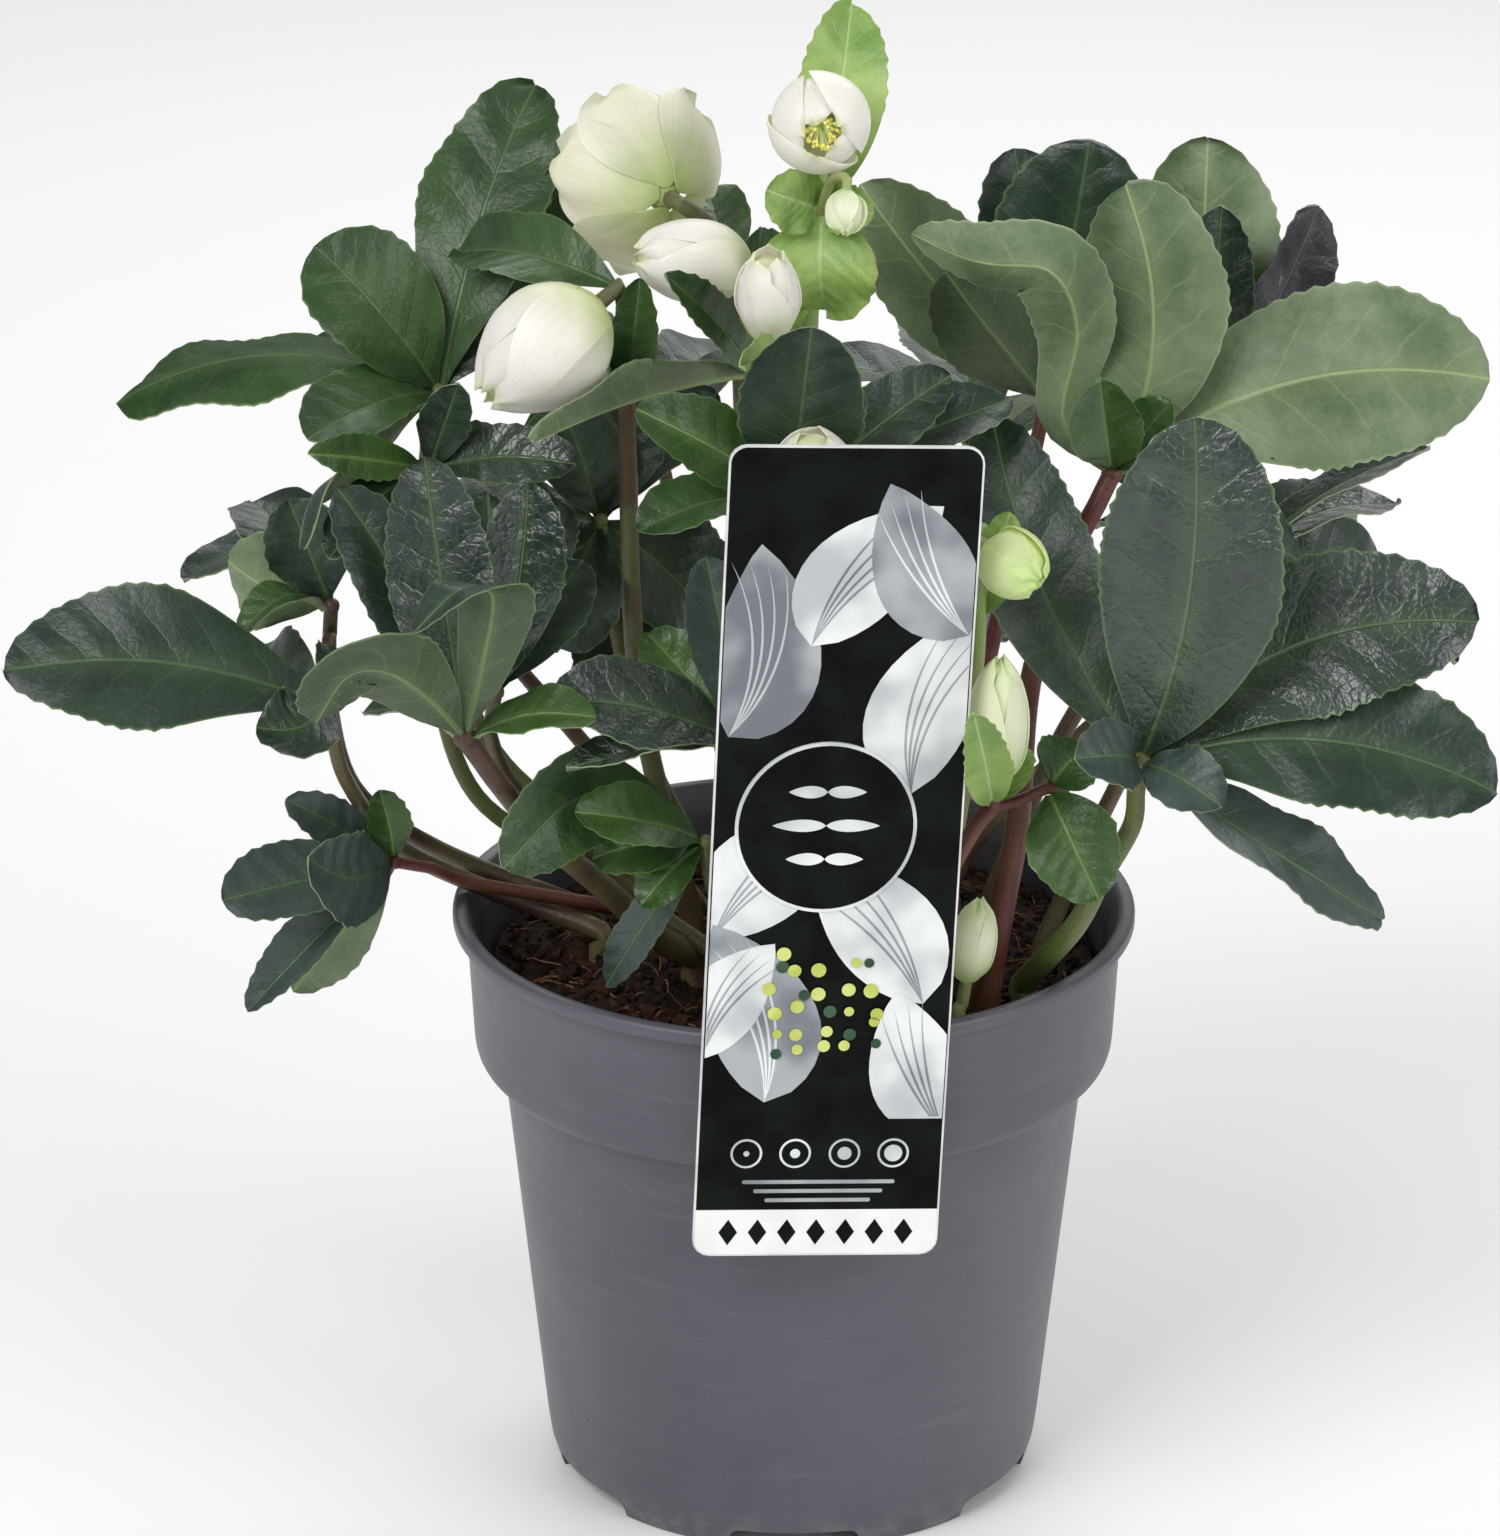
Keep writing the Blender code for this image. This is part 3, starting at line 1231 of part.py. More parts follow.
def build_flower_stalk(stalk):
    """Stalk, its side branches and its bracts, in one solid."""
    node = stalk["name"]
    points, radii = settle_stalk(node, stalk, stalk_neck(flower_named(stalk["carries"])))
    item = tube(node, points, radii, PARTS)
    place_object(node, item)
    parts = []
    for name, path, radius in stalk["branches"]:
        start = min(points, key=lambda point: (point - path[0]).length)
        route = smooth_path([start] + path[1:] + stalk_neck(flower_named(name)), 5)
        parts.append(tube("branch", route, [radius] * len(route), PARTS))
    for piece in stalk["bracts"]:
        start = min(points, key=lambda point: (point - piece["base"]).length)
        for branch in parts[:len(stalk["branches"])]:
            shift = Vector((AXIS_X, AXIS_Y, 0.0))
            corner = min((vertex.co / MM - shift for vertex in branch.data.vertices),
                         key=lambda point: (point - piece["base"]).length)
            if (corner - piece["base"]).length < (start - piece["base"]).length:
                start = corner
        made = settle_blade(node, start, piece)
        if made:
            parts.append(object_from("bract", *made, PARTS))
    if parts:
        join_by_union(item, parts)
    item.data.materials.append(material("flower_stalk", (0.22, 0.36, 0.09), 0.55))
    place_object(node, item)
    return item


def build_frond_stalk(frond):
    """Leaf stalk from the soil to the hub, in a node of its own or fused to its leaflets."""
    hub = frond["hub"]
    before = (frond["path"][0] - hub).normalized()
    ends = [hub + before * (HUB_RADIUS + 4.0), hub]
    if frond["stalk"]:
        ends[1] = hub + before * (HUB_RADIUS + PLAY + 0.1)
    item = {"root": frond["root"], "radius": frond["radius"], "path": frond["path"][::-1]}
    node = frond["name"] + "_stalk" if frond["stalk"] else frond["name"]
    points, radii = settle_stalk(node, item, ends)
    made = tube(node, points, radii, PARTS, resolution=1 if frond["stalk"] else 0)
    place_object(node, made)
    if frond["stalk"]:
        made.data.materials.append(material("leaf_stalk", (0.16, 0.09, 0.05), 0.6))
    return made


def build_frond(frond, stalk):
    """All leaflets of a frond, fused at its hub."""
    node = frond["name"]
    item = ball(node, frond["hub"], HUB_RADIUS, PARTS)
    parts = [] if frond["stalk"] else [stalk]
    for piece in frond["leaves"]:
        made = settle_blade(node, frond["hub"], piece)
        if made:
            parts.append(object_from("leaflet", *made, PARTS))
    join_by_union(item, parts)
    item.name = node
    item.data.materials.append(material("leaf", (0.045, 0.10, 0.045), 0.4))
    return item


def main():
    global PARTS, CUTTERS
    clear_scene()
    PARTS = new_collection("hellebore_in_pot")
    CUTTERS = new_collection("cutters")
    roots = [(*item["root"], item["radius"] * 1.12) for item in FRONDS + FLOWER_STALKS]
    place_object("pot", build_pot())
    place_object("soil", build_soil(roots))
    place_object("label", build_label())
    for flower in BLOOMS:
        build_bloom(flower)
        if flower["stamens"]:
            build_stamens(flower)
    for stalk in FLOWER_STALKS:
        build_flower_stalk(stalk)
    stalks = [build_frond_stalk(frond) for frond in FRONDS]
    for frond, stalk in zip(FRONDS, stalks):
        build_frond(frond, stalk)


main()
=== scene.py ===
"""Potted hellebore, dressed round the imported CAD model."""
import json
import math
import random

import bpy
import bmesh
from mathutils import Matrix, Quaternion, Vector, noise

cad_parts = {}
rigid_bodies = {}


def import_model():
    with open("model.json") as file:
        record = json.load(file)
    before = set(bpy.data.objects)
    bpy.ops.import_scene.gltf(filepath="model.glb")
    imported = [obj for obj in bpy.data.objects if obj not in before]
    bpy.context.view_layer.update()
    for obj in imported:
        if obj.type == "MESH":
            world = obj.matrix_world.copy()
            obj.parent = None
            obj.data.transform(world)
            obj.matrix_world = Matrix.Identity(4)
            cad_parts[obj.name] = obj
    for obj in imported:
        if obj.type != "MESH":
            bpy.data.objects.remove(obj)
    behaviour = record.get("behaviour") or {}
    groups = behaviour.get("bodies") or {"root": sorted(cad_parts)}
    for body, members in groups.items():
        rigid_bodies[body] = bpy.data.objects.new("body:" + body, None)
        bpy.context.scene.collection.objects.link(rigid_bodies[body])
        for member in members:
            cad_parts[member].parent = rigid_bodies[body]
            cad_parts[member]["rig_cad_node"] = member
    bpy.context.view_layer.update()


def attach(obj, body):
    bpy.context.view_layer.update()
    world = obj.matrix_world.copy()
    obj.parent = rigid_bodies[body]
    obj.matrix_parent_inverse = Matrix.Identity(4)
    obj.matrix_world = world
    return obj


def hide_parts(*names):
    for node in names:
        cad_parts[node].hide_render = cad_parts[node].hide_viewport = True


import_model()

# Lengths are in millimetres round the pot's axis, and become metres when a mesh is written.
MM = 0.001
AXIS = Vector((7.4, -15.0, 0.0))

# Pot and soil
LIP_RADIUS = 60.0
POT_HEIGHT = 106.0
LIP_DEPTH = 2.4
COLLAR_RADIUS = 56.6
COLLAR_FOOT_RADIUS = 54.0
COLLAR_FOOT = 77.8
WALL_TOP_RADIUS = 51.4
WALL_FOOT_RADIUS = 44.2
WALL = 1.3
FOOT_HEIGHT = 4.0
FOOT_RADIUS = 42.3
FOOT_RING = 3.4
ARCH_WIDTH = 23.0
ARCH_COUNT = 3
POT_STEPS = 144
DRAIN_RADIUS = 3.2
DRAIN_CIRCLE = 29.0
DRAIN_COUNT = 6
SOIL_TOP = 96.0
ROOT_DEPTH = 8.0

# Label
LABEL_WIDTH = 41.9
LABEL_LENGTH = 145.4
LABEL_THICKNESS = 0.7
LABEL_CORNER = 3.0
LABEL_CENTRE = (6.5, -60.75, 138.8)
LABEL_ROLL = 2.6
LABEL_YAW = 6.4
LABEL_LEAN = 0.4

# Leaves and petals
PETAL_LAYERS = (0.75, 0.5, 0.05, -0.35, -0.6)
HUB_RADIUS = 2.0
BLADE_START = 1.1
PLAY = 0.3
BLADE_COLUMNS = (-1.0, -0.82, -0.62, -0.42, -0.22, -0.07, 0.0, 0.07, 0.22, 0.42, 0.62, 0.82, 1.0)

# Viewpoint of the photograph
PHOTO_FOCAL = 6872.0
PHOTO_WIDTH = 1500.0
PHOTO_HEIGHT = 1536.0
PITCH = math.radians(21.66)
LOOK_AT = Vector((-7.7, 0.0, 131.0))
CAMERA_DISTANCE = 1200.0
VIEW_AHEAD = Vector((0.0, math.cos(PITCH), -math.sin(PITCH)))
VIEW_UP = Vector((0.0, math.sin(PITCH), math.cos(PITCH)))
CAMERA = LOOK_AT - VIEW_AHEAD * CAMERA_DISTANCE


def seen(px, py, depth):
    """Point at y = depth that the photograph shows at column px, row py."""
    ray = VIEW_AHEAD.copy()
    ray += VIEW_UP * ((0.5 * PHOTO_HEIGHT - py) / PHOTO_FOCAL)
    ray += Vector((1.0, 0.0, 0.0)) * ((px - 0.5 * PHOTO_WIDTH) / PHOTO_FOCAL)
    return CAMERA + ray * ((depth - CAMERA.y) / ray.y)


def slide(point, distance):
    """The point moved along its line of sight, away from the viewer."""
    return point + (point - CAMERA).normalized() * distance


# Leaves

def leaf(tip, width, roll=0.0, bow=2.0, side=0.0, cup=18.0, via=(), widest=0.58, tone="dark",
         fit=(0, 1), **extra):
    """One leaflet: its tip as (column, row, depth), its width and how it is turned and bent."""
    piece = {
        "tip": seen(*tip), "via": [seen(*point) for point in via], "width": width, "roll": roll,
        "bow": bow, "side": side, "cup": cup, "widest": widest, "tone": tone, "fit": fit,
    }
    piece.update(extra)
    return piece


def fan(hub, azimuth, rise, reach, width, fits, droop=8.0, tone="dark"):
    """Leaflets that spread from a hub like a hand, round the compass direction azimuth."""
    leaves = []
    count = len(fits)
    for number, fit in enumerate(fits):
        share = number / (count - 1) * 2.0 - 1.0
        turn = math.radians(azimuth + 105.0 * share)
        length = reach * (1.0 - 0.28 * abs(share))
        climb = math.radians(rise + 14.0 * math.cos(number * 2.4))
        tip = Vector((math.cos(turn) * math.cos(climb), math.sin(turn) * math.cos(climb), math.sin(climb)))
        leaves.append({
            "tip": hub + tip * length, "via": [], "width": width * (1.0 - 0.22 * abs(share)),
            "roll": None, "bow": droop, "side": 0.0, "cup": 14.0, "widest": 0.58,
            "tone": tone, "fit": fit,
        })
    return leaves


def bract(base, tip, width, **shape):
    """One bract: where it leaves the stalk, and then as a leaflet."""
    shape.setdefault("tone", "bract")
    shape.setdefault("widest", 0.5)
    piece = leaf(tip, width, **shape)
    piece["base"] = seen(*base)
    return piece


def rear_frond(name, hub, root, azimuth, rise, reach, width, fits):
    """A frond on the far side, spread by rule."""
    hub = Vector(hub)
    low = SOIL_TOP + 18.0
    knee = Vector((root[0], root[1], low)).lerp(Vector((hub.x, hub.y, low)), 0.2)
    return {
        "name": name, "hub": hub, "root": root, "radius": 1.6, "stalk": False,
        "path": [knee],
        "leaves": fan(hub, azimuth, rise, reach, width, fits),
    }


def bloom(name, base, tip, radius, profile, spin=0.0, stamens=False):
    """One flower or bud: both ends as (column, row, depth), its radius and the form of its petals."""
    return {
        "name": name, "base": seen(*base), "tip": seen(*tip), "radius": radius,
        "profile": profile, "spin": spin, "stamens": stamens,
    }


# Fronds: where the hub lies, where the stalk stands in the soil and how it gets there
FRONDS = [
    {
        "name": "frond_low_left", "hub": seen(395, 862, -14), "root": (-27, 6), "radius": 1.3, "stalk": True,
        "path": [seen(432, 868, -12), seen(480, 884, -6)],
        "leaves": [
            leaf((222, 900, -24), 15, roll=20, bow=2, tone="grey"),
            leaf((310, 858, -34), 17, roll=-8, bow=2, side=-3, tone="grey"),
            leaf((247, 1011, -24), 11, roll=25, bow=2, cup=38, tone="grey"),
            leaf((293, 990, -16), 12, roll=172, bow=-1, cup=10, tone="under"),
            leaf((286, 800, -4), 9, fit=(-22, 1), roll=15, tone="grey"),
            leaf((380, 790, -10), 8, fit=(-9, 1), roll=10, tone="bright"),
        ],
    },
    {
        "name": "frond_left", "hub": seen(326, 702, -30), "root": (-34, -2), "radius": 1.6, "stalk": True,
        "path": [seen(346, 780, -24), seen(398, 846, -2), seen(490, 890, 4)],
        "leaves": [
            leaf((3, 670, -34), 27, roll=30, bow=4, side=2, cup=10, tone="dark"),
            leaf((256, 726, -40), 15, roll=15, bow=3, side=-3, tone="dark"),
            leaf((345, 655, -18), 12, roll=10, tone="dark"),
            leaf((225, 690, 6), 20, roll=50, bow=4, tone="dark"),
        ],
    },
    {
        "name": "frond_arch", "hub": seen(331, 606, -10), "root": (-37, 8), "radius": 1.6, "stalk": True,
        "swing": (0, -8),
        "path": [seen(329, 650, -8), seen(330, 706, -4), seen(356, 790, 4), seen(440, 850, 12)],
        "leaves": [
            leaf((240, 634, -22), 9, roll=60, bow=5, tone="mid"),
            leaf((228, 560, -26), 19, fit=(22, 1), roll=150, bow=-2, cup=10, tone="under"),
            leaf((288, 500, -20), 15, fit=(9, 1), roll=0, bow=2, tone="dark"),
            leaf((250, 500, 12), 18, roll=30, bow=4, tone="dark"),
        ],
    },
    {
        "name": "frond_front", "hub": seen(465, 738, -54), "root": (-17, -14), "radius": 2.2, "stalk": True,
        "path": [seen(500, 785, -50), seen(545, 838, -42), seen(604, 888, -30), seen(662, 940, -20)],
        "leaves": [
            leaf((316, 722, -70), 16, roll=168, cup=8, tone="shade",
                 via=[(428, 696, -62), (385, 668, -72), (345, 674, -75)]),
            leaf((414, 634, -76), 13, roll=172, cup=8, tone="shade",
                 via=[(484, 660, -60), (494, 590, -64), (458, 588, -73)]),
            leaf((337, 488, -44), 15, roll=8, bow=2, side=2, tone="dark"),
            leaf((424, 457, -46), 18, fit=(-3, 1), roll=-6, bow=2, tone="gloss"),
            leaf((362, 712, -52), 9, roll=62, bow=3, tone="dark"),
            leaf((596, 716, -60), 11, roll=-50, bow=3, tone="bright"),
        ],
    },
    {
        "name": "frond_purple", "hub": seen(496, 692, -44), "root": (-9, -21), "radius": 1.5, "stalk": True,
        "swing": (11, 0),
        "path": [seen(489, 730, -42), seen(508, 778, -37), seen(560, 832, -29), seen(640, 900, -22)],
        "leaves": [
            leaf((528, 482, -40), 15, roll=4, bow=2, side=1, tone="gloss"),
            leaf((583, 560, -30), 14, roll=-12, bow=2, tone="dark"),
            leaf((487, 492, -28), 12, roll=5, bow=2, tone="dark"),
            leaf((560, 505, -8), 14, roll=-20, bow=3, tone="dark"),
        ],
    },
    {
        "name": "frond_upper_left", "hub": seen(440, 392, 2), "root": (-19, 16), "radius": 1.7, "stalk": True,
        "path": [seen(428, 440, 4), seen(430, 560, 8), seen(500, 760, 14)],
        "leaves": [
            leaf((535, 84, 14), 23, fit=(17, 1), roll=-20, bow=3, side=-1, cup=12, tone="mid"),
            leaf((606, 112, -4), 14, fit=(22, 0.86), roll=10, cup=14, tone="mid",
                 via=[(500, 316, 7), (552, 206, 6)]),
            leaf((313, 248, 4), 24, roll=30, bow=3, cup=12, tone="mid"),
            leaf((117, 405, -8), 24, roll=64, bow=9, cup=-12, tone="matte"),
            leaf((308, 440, -24), 17, roll=45, bow=4, tone="mid"),
            leaf((356, 490, -34), 12, fit=(9, 1), roll=118, bow=3, cup=25, tone="under"),
            leaf((478, 296, 14), 15, roll=0, bow=2, tone="dark"),
            leaf((297, 352, 14), 10, roll=30, bow=3, tone="dark"),
        ],
    },
    {
        "name": "frond_inner_left", "hub": seen(428, 470, -16),
        "root": (-27, 17), "radius": 1.5, "stalk": False,
        "path": [seen(424, 520, -8), seen(430, 640, 4), seen(480, 800, 10)],
        "leaves": [
            leaf((208, 606, -30), 17, fit=(-22, 0.58), roll=118, cup=-14, tone="under",
                 via=[(372, 484, -18), (300, 470, -24), (232, 515, -29)]),
            leaf((292, 592, -30), 15, fit=(-22, 0.72), roll=35, bow=4, tone="dark"),
            leaf((458, 384, -26), 9, roll=0, bow=1, tone="dark"),
            leaf((576, 464, -30), 12, roll=-30, bow=4, tone="gloss"),
            leaf((264, 448, -32), 11, fit=(-22, 0.72), roll=20, bow=2, tone="bright"),
            leaf((508, 440, -6), 9, roll=-20, bow=2, tone="dark"),
        ],
    },
    {
        "name": "frond_middle_left", "hub": seen(600, 520, 6),
        "root": (-11, 8), "radius": 1.5, "stalk": False,
        "path": [seen(610, 600, 6), seen(650, 760, 4)],
        "leaves": [
            leaf((500, 545, -6), 16, roll=30, bow=4, tone="dark"),
            leaf((560, 400, 2), 15, roll=10, bow=3, tone="dark"),
            leaf((648, 380, 2), 15, fit=(9, 1), roll=-5, bow=3, tone="dark"),
            leaf((735, 372, 4), 15, fit=(13, 0.86), roll=-25, bow=3, tone="dark"),
            leaf((700, 610, -6), 22, fit=(22, 1), roll=-20, bow=4, tone="dark"),
            leaf((560, 650, -10), 19, fit=(6, 1), roll=10, bow=4, tone="dark"),
            leaf((646, 716, 10), 23, fit=(17, 1), roll=-4, bow=3, tone="dark"),
        ],
    },
    {
        "name": "frond_centre", "hub": seen(790, 500, -30), "root": (2, -10), "radius": 1.5, "stalk": False,
        "path": [seen(800, 640, -22), seen(800, 800, -16)],
        "leaves": [
            leaf((812, 326, -26), 21, fit=(-17, 1), roll=0, bow=2, cup=10, tone="dark"),
            leaf((637, 408, -40), 14, roll=25, bow=3, tone="bright"),
            leaf((637, 530, -46), 13, fit=(3, 1), roll=45, bow=4, tone="mid"),
            leaf((950, 376, -24), 14, roll=-20, bow=3, tone="dark"),
            leaf((1012, 398, -32), 15, fit=(13, 1), roll=-35, bow=3, tone="dark"),
            leaf((900, 600, -44), 16, fit=(13, 1), roll=-40, bow=4, tone="dark"),
        ],
    },
    {
        "name": "frond_lower_centre", "hub": seen(742, 742, -46),
        "root": (-1, -27), "radius": 1.4, "stalk": False,
        "path": [seen(752, 830, -40)],
        "leaves": [
            leaf((548, 700, -54), 18, roll=38, bow=4, cup=14, tone="gloss"),
            leaf((566, 768, -60), 10, roll=62, bow=2, tone="gloss"),
            leaf((706, 556, -42), 12, roll=4, bow=2, tone="grey"),
            leaf((648, 634, -30), 12, roll=12, bow=2, tone="bright"),
            leaf((900, 690, -40), 14, roll=-25, bow=3, tone="mid"),
        ],
    },
    {
        "name": "frond_young", "hub": seen(706, 842, -42), "root": (-9, -32), "radius": 1.3, "stalk": False,
        "path": [seen(710, 880, -40)],
        "leaves": [
            leaf((470, 872, -38), 21, fit=(-22, 0.86), roll=22, bow=3, tone="mid",
                 via=[(590, 792, -30), (540, 800, -34)]),
            leaf((575, 812, -52), 12, roll=30, bow=3, tone="bright"),
            leaf((592, 858, -50), 12, fit=(6, 1), roll=25, bow=3, tone="bright"),
            leaf((606, 985, -38), 8, roll=20, bow=2, tone="grey"),
            leaf((640, 905, -48), 9, roll=20, bow=2, tone="bright"),
        ],
    },
    {
        "name": "frond_right", "hub": seen(1140, 762, -46), "root": (40, -24), "radius": 2.0, "stalk": True,
        "path": [seen(1132, 826, -45), seen(1104, 874, -42), seen(1076, 925, -38)],
        "leaves": [
            leaf((994, 420, -27), 21, fit=(13, 1), roll=12, bow=2, side=-4, cup=12, tone="dark"),
            leaf((1194, 418, -52), 31, roll=-4, bow=3, side=4, cup=8, tone="gloss"),
            leaf((1478, 622, -42), 27, roll=-14, bow=4, side=-7, cup=12, tone="gloss"),
            leaf((1497, 794, -56), 25, roll=-22, bow=5, side=-5, cup=10, tone="dark"),
            leaf((1382, 920, -48), 17, roll=-42, bow=5, side=4, tone="grey"),
            leaf((1076, 758, -62), 13, roll=20, bow=3, tone="grey"),
            leaf((1222, 806, -62), 12, roll=-20, bow=3, tone="grey"),
        ],
    },
    {
        "name": "frond_upper_right", "hub": seen(1112, 474, -8),
        "root": (33, -30), "radius": 2.1, "stalk": True,
        "path": [seen(1070, 560, -14), seen(1031, 680, -24), seen(1018, 820, -31), seen(1002, 910, -33)],
        "leaves": [
            leaf((1126, 184, -14), 25, roll=176, bow=-2, side=-6, cup=8, widest=0.62, tone="under"),
            leaf((1490, 380, -18), 31, roll=168, bow=-4, side=7, cup=8, widest=0.62, tone="under"),
            leaf((914, 232, -16), 15, roll=170, cup=12, tone="under",
                 via=[(1062, 420, -12), (1076, 330, -16), (1050, 268, -22), (980, 258, -22)]),
            leaf((1100, 380, -24), 13, roll=0, bow=2, tone="bright"),
            leaf((1172, 402, -20), 10, fit=(6, 1), roll=-20, bow=2, tone="mid"),
            leaf((1300, 562, 6), 15, roll=-20, bow=3, tone="dark"),
        ],
    },
    {
        "name": "frond_back_right", "hub": seen(1046, 400, 22),
        "root": (26, 6), "radius": 1.6, "stalk": False,
        "path": [seen(1020, 520, 16), seen(980, 700, 10)],
        "leaves": [
            leaf((1090, 140, 16), 29, roll=0, bow=3, cup=8, tone="dark"),
            leaf((1014, 148, 28), 20, roll=10, bow=3, tone="dark"),
            leaf((946, 272, 12), 18, roll=176, bow=-2, cup=10, tone="shade"),
            leaf((862, 184, 24), 22, fit=(6, 1), roll=160, bow=-4, cup=10, tone="under"),
            leaf((1010, 240, 50), 22, roll=10, bow=4, tone="dark"),
        ],
    },
    {
        "name": "frond_far_right", "hub": seen(1206, 428, 24), "root": (34, 6), "radius": 1.6, "stalk": False,
        "path": [seen(1170, 560, 18), seen(1060, 740, 10)],
        "leaves": [
            leaf((1208, 138, 30), 27, roll=172, bow=-4, cup=10, tone="under"),
            leaf((1222, 206, 14), 14, roll=0, bow=2, tone="gloss"),
            leaf((1320, 206, 24), 15, roll=30, bow=3, tone="purple"),
            leaf((1330, 276, 30), 14, fit=(3, 1), roll=20, bow=4, tone="purple"),
            leaf((1290, 300, 60), 22, roll=0, bow=4, tone="dark"),
        ],
    },
    {
        "name": "frond_side_right", "hub": seen(1236, 560, 6),
        "root": (44, -6), "radius": 1.5, "stalk": False,
        "path": [seen(1200, 640, 6), seen(1120, 780, 0)],
        "leaves": [
            leaf((1422, 492, 2), 17, fit=(22, 0.86), roll=-56, bow=4, tone="gloss"),
            leaf((1430, 446, 16), 10, fit=(3, 1), roll=-60, bow=3, tone="dark"),
            leaf((1318, 486, 10), 10, fit=(22, 1), roll=-15, bow=2, tone="dark"),
            leaf((1318, 542, -14), 15, fit=(13, 0.58), roll=-10, bow=2, tone="dark"),
            leaf((1400, 600, 30), 20, fit=(3, 1), roll=-60, bow=5, tone="dark"),
        ],
    },
]

FRONDS += [
    rear_frond("frond_rear_left", (-62, 34, 153), (-21, 26), 158, 4, 52, 23,
               [(0, 1), (0, 1), (0, 1), (9, 0.86)]),
    rear_frond("frond_rear_inner", (-24, 56, 171), (-8, 30), 100, 14, 50, 24,
               [(0, 1), (0, 1), (0, 1), (0, 1)]),
    rear_frond("frond_rear_right", (34, 62, 167), (10, 30), 62, 10, 52, 24,
               [(0, 1), (0, 1), (0, 1), (0, 1)]),
    rear_frond("frond_rear_far", (76, 36, 147), (28, 20), 22, 2, 48, 22,
               [(0, 1), (3, 1), (0, 1), (0, 1)]),
    rear_frond("frond_rear_low", (8, 66, 129), (1, 22), 88, -6, 46, 20,
               [(0, 1), (0, 1), (0, 1), (0, 1)]),
]

